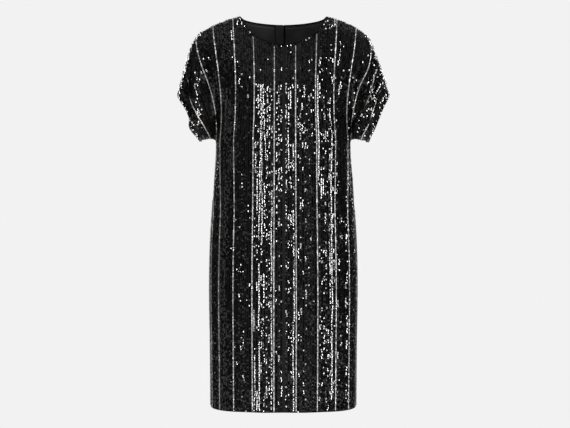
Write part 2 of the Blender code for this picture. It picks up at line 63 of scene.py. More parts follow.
# The cut and fit, as in the part's source
cutValues = {
    "neckHalf": 0.109,
    "neckDrop": {"front": 0.081, "back": 0.017},
    "neckPower": {"front": 1.75, "back": 1.75},
    "underarmZ": -0.3155,
    "hemZ": -0.9885,
    "hemRise": 0.006,
    "sleeveHem": 0.387,
    "sideSeam": 0.237,
    "chestHalf": 0.1685,
    "sectionPower": 2.4,
    "cloth": 0.002,
    "seam": 0.0003,
    "shoulderReach": {"front": 0.19, "back": 0.16},
    "shoulderPower": 2.2,
    "shoulderBlend": 6.0,
    "partedFromZ": -0.13,  # where the sleeves start to part from the body, and over how far
    "partedOver": 0.11,
    "bridge": (0.010, 0.5, 0.04),  # softness of the hollow there: least, more for each metre up, fade
    "armRadius": 0.056,
    "armDepth": 0.054,
    "underarmRadius": 0.035,
    "foldFade": 0.030,
    "foldEdge": 0.026,
    "fluteRise": 0.22,
    "fluteEdge": 0.06,
    "notchHalf": 0.0009,
    "notchFootZ": -0.052,
    "notchRise": 0.018,
    "flareStart": 0.05,  # across, where grain lines draw in below the underarm
    "flareDrop": 0.20,
    "flareEnd": 0.30,  # across, past which no grain line reaches the skirt
}

# z, half width, depth of the front, depth of the back
bodySections = np.array([
    (0.0, 0.1685, 0.112, 0.098),
    (-0.10, 0.1685, 0.114, 0.102),
    (-0.20, 0.1685, 0.120, 0.105),
    (-0.27, 0.1685, 0.123, 0.103),
    (-0.34, 0.1685, 0.121, 0.100),
    (-0.46, 0.1770, 0.116, 0.099),
    (-0.58, 0.1842, 0.114, 0.109),
    (-0.69, 0.1860, 0.115, 0.119),
    (-0.82, 0.1842, 0.116, 0.120),
    (-0.9885, 0.1828, 0.114, 0.117),
])

# The shoulder and the outer line of each sleeve, x and z; the last two rows pass its hem
outerLines = {
    -1: np.array([
        (0.109, 0.0), (0.139, -0.0080), (0.179, -0.0240), (0.206, -0.0400), (0.2225, -0.0560),
        (0.2335, -0.0840), (0.2425, -0.1100), (0.2560, -0.1600), (0.2665, -0.2004),
        (0.2780, -0.2500), (0.2910, -0.3200),
    ]),
    1: np.array([
        (0.109, 0.0), (0.139, -0.0085), (0.176, -0.0240), (0.200, -0.0400), (0.2155, -0.0570),
        (0.2280, -0.0840), (0.2375, -0.1100), (0.2550, -0.1600), (0.2667, -0.2004),
        (0.2780, -0.2500), (0.2910, -0.3200),
    ]),
}

# Grain lines of each sleeve: across, x at a quarter, half, three quarters and the foot, foot's z
sleeveGrain = {
    -1: np.array([
        (0.187, 0.1730, 0.1622, 0.1564, 0.0, 0.0),
        (0.237, 0.2090, 0.1850, 0.1712, 0.1688, -0.3155),
        (0.293, 0.2333, 0.2260, 0.2030, 0.1790, -0.3090),
        (0.346, 0.2454, 0.2330, 0.2190, 0.1985, -0.3100),
        (0.387, 0.2490, 0.2350, 0.2335, 0.2120, -0.3145),
    ]),
    1: np.array([
        (0.187, 0.1730, 0.1622, 0.1564, 0.0, 0.0),
        (0.237, 0.2120, 0.1850, 0.1725, 0.1688, -0.3155),
        (0.293, 0.2255, 0.2120, 0.1900, 0.1770, -0.3095),
        (0.346, 0.2385, 0.2250, 0.2140, 0.1965, -0.3110),
        (0.387, 0.2525, 0.2400, 0.2280, 0.2160, -0.3165),
    ]),
}

# Sleeve folds: face, side, x and z of both ends, width, depth (a ridge is under 0)
sleeveFolds = [
    ("front", -1, 0.232, -0.100, 0.236, -0.225, 0.0085, 0.016),
    ("front", -1, 0.212, -0.090, 0.214, -0.240, 0.0090, -0.008),
    ("front", -1, 0.200, -0.150, 0.183, -0.285, 0.0090, 0.015),
    ("front", -1, 0.226, -0.262, 0.200, -0.302, 0.0110, -0.006),
    ("front", 1, 0.219, -0.100, 0.230, -0.235, 0.0095, 0.016),
    ("front", 1, 0.206, -0.120, 0.204, -0.260, 0.0085, -0.008),
    ("front", 1, 0.192, -0.160, 0.182, -0.282, 0.0085, 0.014),
    ("front", 1, 0.232, -0.260, 0.206, -0.302, 0.0110, -0.006),
    ("back", -1, 0.228, -0.110, 0.230, -0.230, 0.0100, 0.013),
    ("back", -1, 0.194, -0.140, 0.184, -0.280, 0.0100, 0.014),
    ("back", 1, 0.224, -0.105, 0.231, -0.235, 0.0100, 0.013),
    ("back", 1, 0.196, -0.150, 0.184, -0.278, 0.0100, 0.013),
]

# Soft upright flutes: face, place across, width, depth, height where they start
bodyFlutes = [
    ("front", -0.150, 0.020, -0.0025, -0.36),
    ("front", -0.095, 0.018, 0.0030, -0.34),
    ("front", -0.048, 0.016, -0.0030, -0.30),
    ("front", 0.000, 0.018, 0.0030, -0.40),
    ("front", 0.050, 0.017, -0.0028, -0.32),
    ("front", 0.100, 0.019, 0.0030, -0.38),
    ("front", 0.150, 0.020, -0.0028, -0.34),
    ("back", -0.135, 0.024, 0.0030, -0.42),
    ("back", -0.075, 0.024, -0.0025, -0.36),
    ("back", 0.080, 0.024, -0.0025, -0.38),
    ("back", 0.140, 0.024, 0.0030, -0.40),
]

tiny = 1e-9  # metres, under which two places are the same
sideNames = {-1: "left", 1: "right"}


def eased(value):
    held = np.clip(value, 0.0, 1.0)
    return held * held * (3.0 - 2.0 * held)


def smoothCurve(places, values, at):
    # cubic pieces through values at rising places, level past both ends
    slopes = np.gradient(values, places, axis=0)
    held = np.clip(at, places[0], places[-1])
    index = np.clip(np.searchsorted(places, held, side="right") - 1, 0, len(places) - 2)
    step = places[index + 1] - places[index]
    part = (held - places[index]) / step
    if values.ndim > 1:
        step, part = step[:, None], part[:, None]
    start = values[index] * (1 + 2 * part) * (1 - part) ** 2
    end = values[index + 1] * part**2 * (3 - 2 * part)
    lean = slopes[index] * part * (1 - part) ** 2 - slopes[index + 1] * part**2 * (1 - part)
    return start + end + lean * step


def runLengths(line):
    # how far along a line each of its points lies
    return np.concatenate([[0.0], np.cumsum(np.linalg.norm(np.diff(line, axis=0), axis=1))])


def readAlong(values, lengths, at):
    # a table of values, one row for each length, read at places between them
    return np.stack([np.interp(at, lengths, column) for column in values.T], axis=1)


def sectionValue(column, z):
    return smoothCurve(bodySections[::-1, 0], bodySections[::-1, column], z)


def faceDepth(face, z):
    return sectionValue(2 if face == "front" else 3, z)


def outerX(side, z):
    line = outerLines[side][::-1]
    return np.interp(z, line[:, 1], line[:, 0])


def outerZ(side, x):
    line = outerLines[side]
    return np.interp(x, line[:, 0], line[:, 1])


def topEdge(face, side, across):
    # where a grain line starts: on the neckline, or on the seam over the sleeve
    neckHalf, power = cutValues["neckHalf"], cutValues["neckPower"][face]
    share = np.clip(across / neckHalf, 0.0, 1.0)
    neckZ = -cutValues["neckDrop"][face] * (1.0 - share**power) ** (1.0 / power)
    points = outerLines[side][:-2]
    lengths = runLengths(points)
    share = (across - neckHalf) / (cutValues["sleeveHem"] - neckHalf) * lengths[-1]
    x = np.where(across <= neckHalf, across, np.interp(share, lengths, points[:, 0]))
    z = np.where(across <= neckHalf, neckZ, np.interp(share, lengths, points[:, 1]))
    return x, z


def section(face, z, share):
    # the body's section: points at shares of the way from its centre to its side
    turn = np.linspace(0.0, math.pi / 2, 160)
    power = 2.0 / cutValues["sectionPower"]
    x = sectionValue(1, z) * np.sin(turn) ** power
    y = faceDepth(face, z) * np.cos(turn) ** power
    lengths = np.concatenate([[0.0], np.cumsum(np.hypot(np.diff(x), np.diff(y)))])
    at = share * lengths[-1]
    return np.interp(at, lengths, x), np.interp(at, lengths, y), lengths[-1]


def dolmanDepth(face, side, x, z):
    # how deep a face stands above the underarm, where body and sleeve are one
    depth = faceDepth(face, z)
    drop = np.clip((outerZ(side, x) - z) / cutValues["shoulderReach"][face], 0.0, 1.0)
    over = np.sqrt(np.clip(1.0 - (1.0 - drop) ** 2, 1e-6, 1.0))
    out = np.clip(x / outerX(side, z), 0.0, 1.0)
    power, blend = cutValues["shoulderPower"], cutValues["shoulderBlend"]
    sideways = np.clip(1.0 - out**power, 1e-6, 1.0) ** (1.0 / power)
    return depth * (over**-blend + sideways**-blend - 1.0) ** (-1.0 / blend)


def partedDepth(face, side, x, z):
    # the same lower down, where a hollow parts the body from the sleeve
    bodyShare = np.clip(x / cutValues["chestHalf"], 0.0, 1.0)
    power = cutValues["sectionPower"]
    body = faceDepth(face, z) * (1.0 - bodyShare**power) ** (1.0 / power)
    armX = outerX(side, z) - cutValues["armRadius"]
    armShare = (x - armX) / cutValues["armRadius"]
    arm = cutValues["armDepth"] * np.sqrt(np.clip(1.0 - armShare**2, 0.0, 1.0))
    least, more, fade = cutValues["bridge"]
    bridge = (least + more * np.clip(z - cutValues["underarmZ"], 0.0, 1.0)) * eased((armX - x) / fade)
    return (body + arm + np.sqrt((body - arm) ** 2 + bridge**2)) / 2


def foldDepth(face, side, x, z):
    sunk = np.zeros_like(x)
    for onFace, onSide, x0, z0, x1, z1, width, depth in sleeveFolds:
        if onFace != face or onSide != side:
            continue
        runX, runZ = x1 - x0, z1 - z0
        length = math.hypot(runX, runZ)
        on = ((x - x0) * runX + (z - z0) * runZ) / length
        off = ((x - x0) * runZ - (z - z0) * runX) / length
        fade = cutValues["foldFade"]
        ends = eased(on / fade) * eased((length - on) / fade)
        sunk += depth * ends * np.exp(-((off / width) ** 2))
    return sunk


def fluteDepth(face, side, across, z):
    sunk = np.zeros(np.broadcast(across, z).shape)
    for onFace, place, width, depth, topZ in bodyFlutes:
        if onFace == face:
            near = np.exp(-(((side * across - place) / width) ** 2))
            sunk += depth * near * eased((topZ - z) / cutValues["fluteRise"])
    return sunk


def upperGrid(face, side, across, down):
    # the cloth's outer face above the underarm: a row of points for each grain line
    grain = sleeveGrain[side]
    topX, topZ = topEdge(face, side, across)
    bodyFoot = section(face, cutValues["underarmZ"], np.clip(across / cutValues["sideSeam"], 0.0, 1.0))[0]
    sleeve = across > cutValues["sideSeam"] + tiny
    footX = np.where(sleeve, smoothCurve(grain[1:, 0], grain[1:, 4], across), bodyFoot)
    footZ = np.where(sleeve, smoothCurve(grain[1:, 0], grain[1:, 5], across), cutValues["underarmZ"])
    knots = grain[:, 0]
    knotTop = topEdge(face, side, knots)[0]
    knotFoot = section(face, cutValues["underarmZ"], np.clip(knots / cutValues["sideSeam"], 0.0, 1.0))[0]
    knotFoot[1:] = grain[1:, 4]
    shifts = [np.zeros(len(across))]
    for column, quarter in ((1, 0.25), (2, 0.5), (3, 0.75)):
        shift = grain[:, column] - (knotTop + (knotFoot - knotTop) * eased(quarter))
        shift = smoothCurve(knots, shift, across)
        shifts.append(np.where(across < knots[0], shift * eased(across / knots[0]), shift))
    shifts.append(np.zeros(len(across)))
    moved = smoothCurve(np.linspace(0.0, 1.0, 5), np.array(shifts), down).T
    x = topX[:, None] + (footX - topX)[:, None] * eased(down)[None, :] + moved
    z = topZ[:, None] + (footZ - topZ)[:, None] * down[None, :]
    apart = eased((cutValues["partedFromZ"] - z) / cutValues["partedOver"])
    y = dolmanDepth(face, side, x, z) * (1 - apart) + partedDepth(face, side, x, z) * apart
    rise = (1.0 - down)[None, :] * (topZ - footZ)[:, None] / cutValues["underarmRadius"]
    rise = np.clip(rise, 0.0, 1.0)
    y = np.where(sleeve[:, None], y * np.sqrt(np.clip(1.0 - (1.0 - rise) ** 2, 0.0, 1.0)), y)
    y = y - foldDepth(face, side, x, z) * np.clip(y / cutValues["foldEdge"], 0.0, 1.0)
    y = y - fluteDepth(face, side, across[:, None], z) * eased(y / cutValues["fluteEdge"])
    return np.stack([side * x, y if face == "back" else -y, z], axis=-1)


def lowerGrid(face, side, shares, heights):
    # from the underarm to the hem, which rises to the side seams; a share past 1 is not a number
    points = np.full((len(shares), len(heights), 3), np.nan)
    for row, z in enumerate(heights):
        share = shares[:, row] if shares.ndim > 1 else shares
        on = share <= 1.0 + tiny
        share = np.clip(share[on], 0.0, 1.0)
        x, y, length = section(face, z, share)
        y = y - fluteDepth(face, side, share * length, z) * eased(y / cutValues["fluteEdge"])
        fallen = (cutValues["underarmZ"] - z) / (cutValues["underarmZ"] - cutValues["hemZ"])
        raised = z + cutValues["hemRise"] * fallen * share**4
        points[on, row] = np.stack([side * x, y if face == "back" else -y, raised], axis=-1)
    return points


def grainShares(across, heights):
    # the skirt flares: its grain lines hang straight and the side seam cuts them one by one
    drawnIn = np.clip(across - cutValues["flareStart"], 0.0, 1.0) ** 2
    flare = eased((cutValues["underarmZ"] - heights) / cutValues["flareDrop"])
    return (across[:, None] - drawnIn[:, None] * flare[None, :]) / cutValues["sideSeam"]


def centreGap(z):
    # half the gap between the backs: a seam that opens into the notch at the neck
    opened = eased((z - cutValues["notchFootZ"]) / cutValues["notchRise"])
    return cutValues["seam"] / 2 + cutValues["notchHalf"] * opened


def downSteps(count):
    # closer together at both ends, where the cloth curves most
    even = np.linspace(0.0, 1.0, count + 1)
    return 0.65 * (1 - np.cos(math.pi * even)) / 2 + 0.35 * even


def lowerHeights(count):
    return np.linspace(cutValues["underarmZ"], cutValues["hemZ"], count + 1)[1:]


def panelGrid(face, side, across, upperRows, lowerRows, grain=False):
    upper = upperGrid(face, side, across, downSteps(upperRows))
    heights = lowerHeights(lowerRows)
    shares = grainShares(across, heights) if grain else across / cutValues["sideSeam"]
    onBody = (across <= cutValues["sideSeam"] + tiny)[:, None]
    shares = np.where(onBody, shares.reshape(len(across), -1), 2.0)
    if not grain:
        shares = shares[:, 0]
    return np.concatenate([upper, lowerGrid(face, side, shares, heights)], axis=1)


def sewnGrid(face, side, across, upperRows, lowerRows):
    # a panel's grid with its seam edges set against the next panel's
    grid = panelGrid(face, side, across, upperRows, lowerRows)
    seamY = cutValues["seam"] / 2 if face == "back" else -cutValues["seam"] / 2
    grid[across >= cutValues["neckHalf"] - tiny, 0, 1] = seamY
    grid[across >= cutValues["sideSeam"] - tiny, upperRows, 1] = seamY
    sideColumn = int(np.argmin(np.abs(across - cutValues["sideSeam"])))
    grid[sideColumn, upperRows:, 1] = seamY
    if face == "back":
        grid[0, :, 0] = side * centreGap(grid[0, :, 2])
    return grid


# One function turns hex colours to linear, and one adds a node


def linear(hexColour, alpha=1.0):
    parts = [int(hexColour[i : i + 2], 16) / 255 for i in (1, 3, 5)]
    turned = [p / 12.92 if p <= 0.04045 else ((p + 0.055) / 1.055) ** 2.4 for p in parts]
    return (*turned, alpha)


def addNode(tree, kind, values=None, links=None, **settings):
    node = tree.nodes.new(kind)
    for name, value in settings.items():
        setattr(node, name, value)
    for name, value in (values or {}).items():
        node.inputs[name].default_value = value
    for name, source in (links or {}).items():
        tree.links.new(source, node.inputs[name])
    return node


def newMaterial(name, **values):
    material = bpy.data.materials.new(name)
    material.use_nodes = True
    shader = material.node_tree.nodes["Principled BSDF"]
    for key, value in values.items():
        shader.inputs[key.replace("_", " ")].default_value = value
    return material, material.node_tree, shader


def scuff(tree, shader, scale, roughness, most):
    # fine wear: the roughness goes from three quarters of its value to most of it in small spots
    place = addNode(tree, "ShaderNodeTexCoord")
    scuffs = addNode(
        tree, "ShaderNodeTexNoise", {"Scale": scale, "Detail": 2.0}, {"Vector": place.outputs["Object"]}
    )
    spread = addNode(
        tree, "ShaderNodeMapRange",
        {"From Min": 0.3, "From Max": 0.7, "To Min": roughness * 0.75, "To Max": roughness * most},
        {"Value": scuffs.outputs["Fac"]},
    )
    tree.links.new(spread.outputs["Result"], shader.inputs["Roughness"])


def drawPattern(tree, shader, pattern, colours, depth, ends=(0.0, 1.0), relief=None):
    # a pattern goes from the first colour to the second between its ends, and raises the surface;
    # depth is the strength and the metres of that relief
    tone = addNode(tree, "ShaderNodeValToRGB", links={"Fac": pattern})
    for stop, place, colour in zip(tone.color_ramp.elements, ends, colours):
        stop.position = place
        stop.color = linear(colour)
    bump = addNode(
        tree, "ShaderNodeBump", {"Strength": depth[0], "Distance": depth[1]}, {"Height": relief or pattern}
    )
    tree.links.new(tone.outputs["Color"], shader.inputs["Base Color"])
    tree.links.new(bump.outputs["Normal"], shader.inputs["Normal"])


# Where the front's stripes lie in the sleeves' folds and turn from the light: side, across, z
shadedStripes = [
    (-1, 0.310, 0.0, -0.205),
    (1, 0.241, 0.0, -0.055),
    (1, 0.294, 0.0, -0.135),
    (1, 0.294, -0.200, -0.330),
    (1, 0.3466, -0.165, -0.215),
    (1, 0.3466, -0.255, -0.275),
]

# The tall lights: the front's sequins catch the first two and keep off the two behind
lightPlaces = {
    "key": (-0.75, -4.4, 0.0),
    "right": (2.9, -3.2, 0.0),
    "back": (2.8, 3.3, 0.2),
    "backLeft": (-2.3, 3.7, 0.1),
}

sequinValues = {
    "radius": 0.0025,  # 5 mm sequins
    "cup": 0.00018,  # how deep each is dished
    "step": 0.0044,  # down a column
    "columns": 8,  # between two stripes
    "fromCentre": 0.45,  # of a column's width
    "fromHem": 0.0015,
    "fromSeam": 0.75,  # of a radius
    "blackFrom": 0.27,  # across, where the left sleeve has black in place of stripes
    "off": 0.0006,  # off the cloth, with every second column a little higher
    "higher": 0.0003,
    "lift": 6.0,  # degrees that each leans out at its lower edge
    "liftSpread": 5.5,
    "rollSpread": 4.5,
    "runSpread": 3.0,
    "columnSpread": 3.5,
    "backSpread": 4.0,  # of long runs down the back
    "run": 1.5,  # sequins of a column that lie alike
    "longRun": 9.0,  # the same where a zone is thick with light
    "fallen": 0.20,  # share that lean down, into the dark
    "fallenLean": (8.0, 22.0),
    "smokeShares": (0.15, 0.45, 0.75),  # of a column's sequins that are smoke, not black
    "smokeOdds": (0.4, 0.3, 0.3),
    "bronzeShare": 0.22,  # where the sleeves are gathered
    "gatheredFrom": (0.24, -0.20),  # across and z
    "shoulderLoose": (0.012, 0.45),  # within this of the shoulder seam, this share stands off the cloth
    "sleeveLoose": (0.18, 0.16),  # the same from this far across
    "looseHeight": 0.0012,
    "looseSpread": 14.0,
    "thinnedZ": (-0.22, -0.28),  # under these the cut draws in, and columns end
    "black": ("#060607", 0.07, 0.0),  # colour, roughness, metallic
    "smoke": ("#0b0b0c", 0.196, 0.0),
    "bronze": ("#352d26", 0.168, 0.2),
    "ior": 1.62,
}

# How the front's sequins are brushed, in degrees where no other unit is given
brushValues = {
    "aside": 5.5,  # off a light's mirror angle, which leaves a sequin dark
    "asideSpread": 3.0,
    "thickFrom": 0.5,  # share from which a zone's light comes in long runs
    "together": 0.85,  # how far a long run is lit as one
    "sharedSpread": 2.0,
    "ownSpread": 0.8,
    "aloneSpread": 2.4,
    "riseSpread": 2.0,
    "overSleeve": ((-1, 0.012, 0.034, 0.52), (1, 0.012, 0.042, 0.28)),  # side, from and to down, share lit
    "overSleeveFrom": 0.215,  # across
    "overSleeveFootZ": -0.22,
    "overSleeveMost": 95.0,
    "proud": 0.0010,  # metres that the lit ones over the sleeves stand out
}

# Where the front's sequins lie brushed to one side, so that columns of them catch the light:
# from and to across, from and to z, share that faces a light, which light, most lean (degrees)
brushedZones = [
    (-0.387, -0.128, 0.010, -0.990, 0.03, "key", 16.0),
    (0.1886, 0.387, 0.010, -0.990, 0.04, "right", 16.0),
    (-0.128, -0.020, 0.010, -0.180, 0.035, "key", 20.0),
    (-0.020, 0.060, 0.010, -0.180, 0.035, "key", 20.0),
    (0.060, 0.1886, 0.010, -0.110, 0.06, "right", 26.0),
    (0.060, 0.1359, -0.110, -0.180, 0.16, "right", 26.0),
    (0.1359, 0.1886, -0.110, -0.180, 0.08, "right", 26.0),
    (0.1420, 0.1480, -0.070, -0.130, 0.95, "right", 60.0),
    (-0.128, -0.079, -0.180, -0.990, 0.06, "key", 16.0),
    (-0.079, -0.0225, -0.180, -0.990, 0.34, "key", 16.0),
    (-0.0600, -0.0500, -0.178, -0.565, 0.90, "key", 16.0),
    (-0.0480, -0.0440, -0.240, -0.470, 0.80, "key", 16.0),
    (-0.0660, -0.0610, -0.413, -0.489, 0.80, "key", 16.0),
    (-0.0660, -0.0610, -0.577, -0.615, 0.80, "key", 16.0),
    (-0.079, -0.0225, -0.760, -0.990, 0.42, "key", 16.0),
    (-0.0772, -0.0519, -0.598, -0.717, 0.55, "key", 16.0),
    (-0.0772, -0.0519, -0.717, -0.830, 0.80, "key", 16.0),
    (-0.0790, -0.0400, -0.830, -0.990, 0.74, "key", 22.0),
    (-0.0490, -0.0440, -0.600, -0.830, 0.60, "key", 16.0),
    (-0.0300, -0.0235, -0.480, -0.990, 0.92, "key", 16.0),
    (-0.0225, 0.0305, -0.182, -0.440, 0.42, "key", 18.0),
    (-0.0225, 0.0305, -0.440, -0.990, 0.16, "key", 18.0),
    (0.0220, 0.0300, -0.490, -0.990, 0.92, "key", 18.0),
    (0.0100, 0.0300, -0.190, -0.370, 0.60, "key", 18.0),
    (0.0305, 0.0832, -0.178, -0.337, 0.24, "key", 22.0),
    (0.0305, 0.0832, -0.337, -0.990, 0.09, "key", 22.0),
    (0.0832, 0.1359, -0.180, -0.820, 0.21, "right", 18.0),
    (0.0832, 0.1359, -0.820, -0.990, 0.12, "right", 18.0),
    (0.0840, 0.0920, -0.180, -0.420, 0.85, "right", 22.0),
    (0.0900, 0.1060, -0.410, -0.540, 0.50, "right", 20.0),
    (0.1240, 0.1290, -0.240, -0.960, 0.90, "right", 18.0),
    (0.1120, 0.1220, -0.560, -0.800, 0.60, "right", 18.0),
    (0.1359, 0.1886, -0.180, -0.990, 0.08, "right", 20.0),
    (-0.118, -0.098, -0.006, -0.026, 0.40, "key", 70.0),
    (0.105, 0.135, -0.008, -0.038, 0.30, "right", 70.0),
    (-0.1340, -0.1265, -0.022, -0.068, 0.75, "key", 40.0),
    (-0.250, -0.200, -0.110, -0.320, 0.04, "key", 50.0),
    (0.280, 0.387, -0.110, -0.320, 0.17, "right", 70.0),
    (0.200, 0.280, -0.090, -0.320, 0.06, "right", 50.0),
]

# Patches of light in the left sleeve's folds and down the right side, which cross the columns:
# from and to x, from and to z, share, which light, most lean
glintPatches = [
    (-0.2200, -0.2060, -0.145, -0.200, 0.42, "key", 80.0),
    (-0.2180, -0.2030, -0.200, -0.252, 0.49, "key", 80.0),
    (-0.2310, -0.2030, -0.268, -0.320, 0.34, "key", 80.0),
    (0.1545, 0.1595, -0.425, -0.985, 0.46, "right", 45.0),
]

stripeValues = {
    "spacing": 0.0527,
    "shift": 0.004,
    "radius": 0.00145,
    "cup": 0.00010,
    "step": 0.0028,
    "off": 0.0014,
    "fromNeck": 0.0075,
    "fromSeam": 0.0012,
    "liftSpread": 6.0,  # degrees
    "rollSpread": 7.0,
    "pressed": 0.55,  # how far the front's stripes turn to the light
    "yokePressed": 0.35,
    "shoulderPressed": 0.74,
    "yokeFootZ": -0.14,
    "shoulderFrom": 0.11,  # across
    "rightLightFrom": 0.06,
    "leftFront": (0.2331, 0.2859, 0.3100),  # the last stripes of the left front
    "leftFrontFrom": 0.2,  # across
    "skirtOnly": 0.2859,
    "same": 0.001,  # a sequin this near is in that stripe
    "shadedReach": 0.004,
    "shadedTurn": 1.4,  # how far the shaded ones stay with the cloth and not away from the light
    "fromHem": 0.002,
    # share of the stripes' sequins in a darker copy of the silver film, which is painted shade
    "shadedSilverShare": 0.25,
    "silver": "#e6e5e2",
    # colour of that darker copy, painted shade
    "shadedSilver": "#a5a4a0",
    "roughness": 0.44,
}


def sequinMaterial(name, colour, roughness, metallic):
    # PET film, dyed through and punched: hard, smooth and glossy, with faint scuffs from wear
    material, tree, shader = newMaterial(
        name, Base_Color=linear(colour), Roughness=roughness, Metallic=metallic, IOR=sequinValues["ior"]
    )
    scuff(tree, shader, 260.0, roughness, 1.3)
    return material


def stripeMaterial(name, colour, roughness):
    # silver metallised film, faintly warm, its coating dulled to a soft grey shine
    material, tree, shader = newMaterial(
        name, Base_Color=linear(colour), Roughness=roughness, Metallic=0.9
    )
    scuff(tree, shader, 420.0, roughness, 1.25)
    return material


def netMaterial():
    # black polyester net under the sequins, matte, its mesh drawn at 1.5 mm
    material, tree, shader = newMaterial("black_polyester_net", Roughness=0.8)
    uv = addNode(tree, "ShaderNodeUVMap", uv_map="OFBake")
    checks = addNode(
        tree, "ShaderNodeTexVoronoi", {"Scale": 1100.0, "Randomness": 0.15}, {"Vector": uv.outputs["UV"]}
    )
    drawPattern(tree, shader, checks.outputs["Distance"], ("#050506", "#141415"), (0.4, 0.0004))
    return material


def liningMaterial():
    # charcoal acetate lining: a smooth close weave with a low sheen and soft creases, whose hollows are
    # painted darker as shade and whose ridges are painted lighter
    material, tree, shader = newMaterial(
        "charcoal_acetate_lining", Roughness=0.5, Sheen_Weight=0.15, Sheen_Roughness=0.4
    )
    uv = addNode(tree, "ShaderNodeUVMap", uv_map="OFBake")
    place = addNode(tree, "ShaderNodeTexCoord")
    weave = addNode(
        tree, "ShaderNodeTexWave", {"Scale": 500.0, "Distortion": 0.6, "Detail": 1.0},
        {"Vector": uv.outputs["UV"]}, bands_direction="X",
    )
    creasesAndShade = addNode(
        tree, "ShaderNodeTexNoise", {"Scale": 14.0, "Detail": 3.0}, {"Vector": place.outputs["Object"]}
    )
    faint = addNode(tree, "ShaderNodeMath", {1: 0.2}, {0: weave.outputs["Fac"]}, operation="MULTIPLY")
    height = addNode(
        tree, "ShaderNodeMath", links={0: faint.outputs["Value"], 1: creasesAndShade.outputs["Fac"]}, operation="ADD"
    )
    # painted shade and light: the colour follows the crease noise, dark where the relief sinks and paler
    # where it rises
    drawPattern(
        tree, shader, creasesAndShade.outputs["Fac"], ("#2a2a2b", "#484849"), (0.35, 0.002), (0.3, 0.75),
        height.outputs["Value"],
    )
    return material


def tapeMaterial():
    # woven polyester zip tape: a fine herringbone rib, drawn at 1.2 mm
    material, tree, shader = newMaterial("woven_polyester_tape", Roughness=0.75)
    place = addNode(tree, "ShaderNodeTexCoord")
    rib = addNode(
        tree, "ShaderNodeTexWave", {"Scale": 130.0, "Distortion": 1.5, "Detail": 1.0},
        {"Vector": place.outputs["Object"]}, bands_direction="DIAGONAL",
    )
    drawPattern(tree, shader, rib.outputs["Fac"], ("#08080a", "#17171a"), (0.5, 0.0003))
    return material


def grainMaterial(name, scale, detail, colours, depth, ends, **values):
    # a fine dark grain over a plain colour
    material, tree, shader = newMaterial(name, **values)
    place = addNode(tree, "ShaderNodeTexCoord")
    grain = addNode(
        tree, "ShaderNodeTexNoise", {"Scale": scale, "Detail": detail}, {"Vector": place.outputs["Object"]}
    )
    drawPattern(tree, shader, grain.outputs["Fac"], colours, depth, ends)
    return material


def lacquerMaterial():
    # die-cast zinc under black lacquer: a satin coat, thinned to grey on rubbed spots
    return grainMaterial(
        "black_lacquered_zinc", 900.0, 4.0, ("#0e0e10", "#3a3a3d"), (0.25, 0.0001), (0.45, 0.8),
        Roughness=0.32, Metallic=0.4, Coat_Weight=0.4,
    )


def fibreMaterial(name, dark, light, roughness, scale, **more):
    # thread, rolled net and moulded nylon
    return grainMaterial(
        name, scale, 3.0, (dark, light), (0.4, 0.0002), (0.35, 0.7), Roughness=roughness, **more
    )


materials = {
    "black": sequinMaterial("black_pet_sequin", *sequinValues["black"]),
    "smoke": sequinMaterial("smoke_pet_sequin", *sequinValues["smoke"]),
    "bronze": sequinMaterial("bronze_pet_sequin", *sequinValues["bronze"]),
    "silver": stripeMaterial("silver_metallised_film", stripeValues["silver"], stripeValues["roughness"]),
    # a darker copy of the silver film: painted shade on a share of the stripes' sequins
    "shadedSilver": stripeMaterial("shaded_metallised_film", stripeValues["shadedSilver"], stripeValues["roughness"]),
    "net": netMaterial(),
    "lining": liningMaterial(),
    "tape": tapeMaterial(),
    "lacquer": lacquerMaterial(),
    "roll": fibreMaterial("rolled_black_net_edge", "#020202", "#060607", 0.9, 900.0, Specular_IOR_Level=0.05),
    "thread": fibreMaterial("black_polyester_thread", "#0a0a0b", "#1c1c1e", 0.6, 2400.0),
    "coil": fibreMaterial("black_nylon_coil", "#0b0b0c", "#161617", 0.35, 1200.0),
}
print("materials made")


def unit(vectors):
    return vectors / np.maximum(np.linalg.norm(vectors, axis=1, keepdims=True), 1e-12)


def meshObject(name, points, faces, materialNames, faceMaterials=None, smooth=True):
    mesh = bpy.data.meshes.new(name)
    mesh.from_pydata([tuple(p) for p in points], [], faces)
    for key in materialNames:
        mesh.materials.append(materials[key])
    if faceMaterials is not None:
        mesh.polygons.foreach_set("material_index", faceMaterials)
    if smooth:
        mesh.shade_smooth()
    mesh.update()
    made = bpy.data.objects.new(name, mesh)
    scene.collection.objects.link(made)
    return made


def gridNormals(grid):
    # normals at a grid's points; not-a-number points stay so
    along = np.full_like(grid, np.nan)
    over = np.full_like(grid, np.nan)
    filled = np.isfinite(grid[..., 0])
    for column in range(grid.shape[0]):
        rows = np.flatnonzero(filled[column])
        if len(rows) > 1:
            along[column, rows] = np.gradient(grid[column, rows], axis=0)
    for row in range(grid.shape[1]):
        columns = np.flatnonzero(filled[:, row])
        if len(columns) > 1:
            over[columns, row] = np.gradient(grid[columns, row], axis=0)
    normals = np.cross(over, along)
    lengths = np.linalg.norm(normals, axis=-1, keepdims=True)
    return normals / np.where(lengths > 0, lengths, 1.0)


def outNormals(grid, face, side):
    # the same, turned to point out of the dress
    return gridNormals(grid) * (-side if face == "front" else side)


def gridCells(grid):
    # the four corners of each cell whose points are all there
    count = grid.shape[1]
    filled = np.isfinite(grid[..., 0])
    whole = filled[:-1, :-1] & filled[1:, :-1] & filled[:-1, 1:] & filled[1:, 1:]
    columns, rows = np.nonzero(whole)
    corner = columns * count + rows
    return np.stack([corner, corner + 1, corner + count + 1, corner + count], axis=1)


# Columns of cells over each part of a panel, rows above and below the underarm, and the rows of
# the finer grid that the pieces inside the back are read from
clothSteps = {
    "neck": 20, "body": 22, "sleeve": 26, "upper": 64, "lower": 66, "fine": 120, "guard": (7, 30),
}
mapValues = {"metres": 1.7, "margin": 0.02, "apart": 0.01}  # seen by the whole map, and its gaps


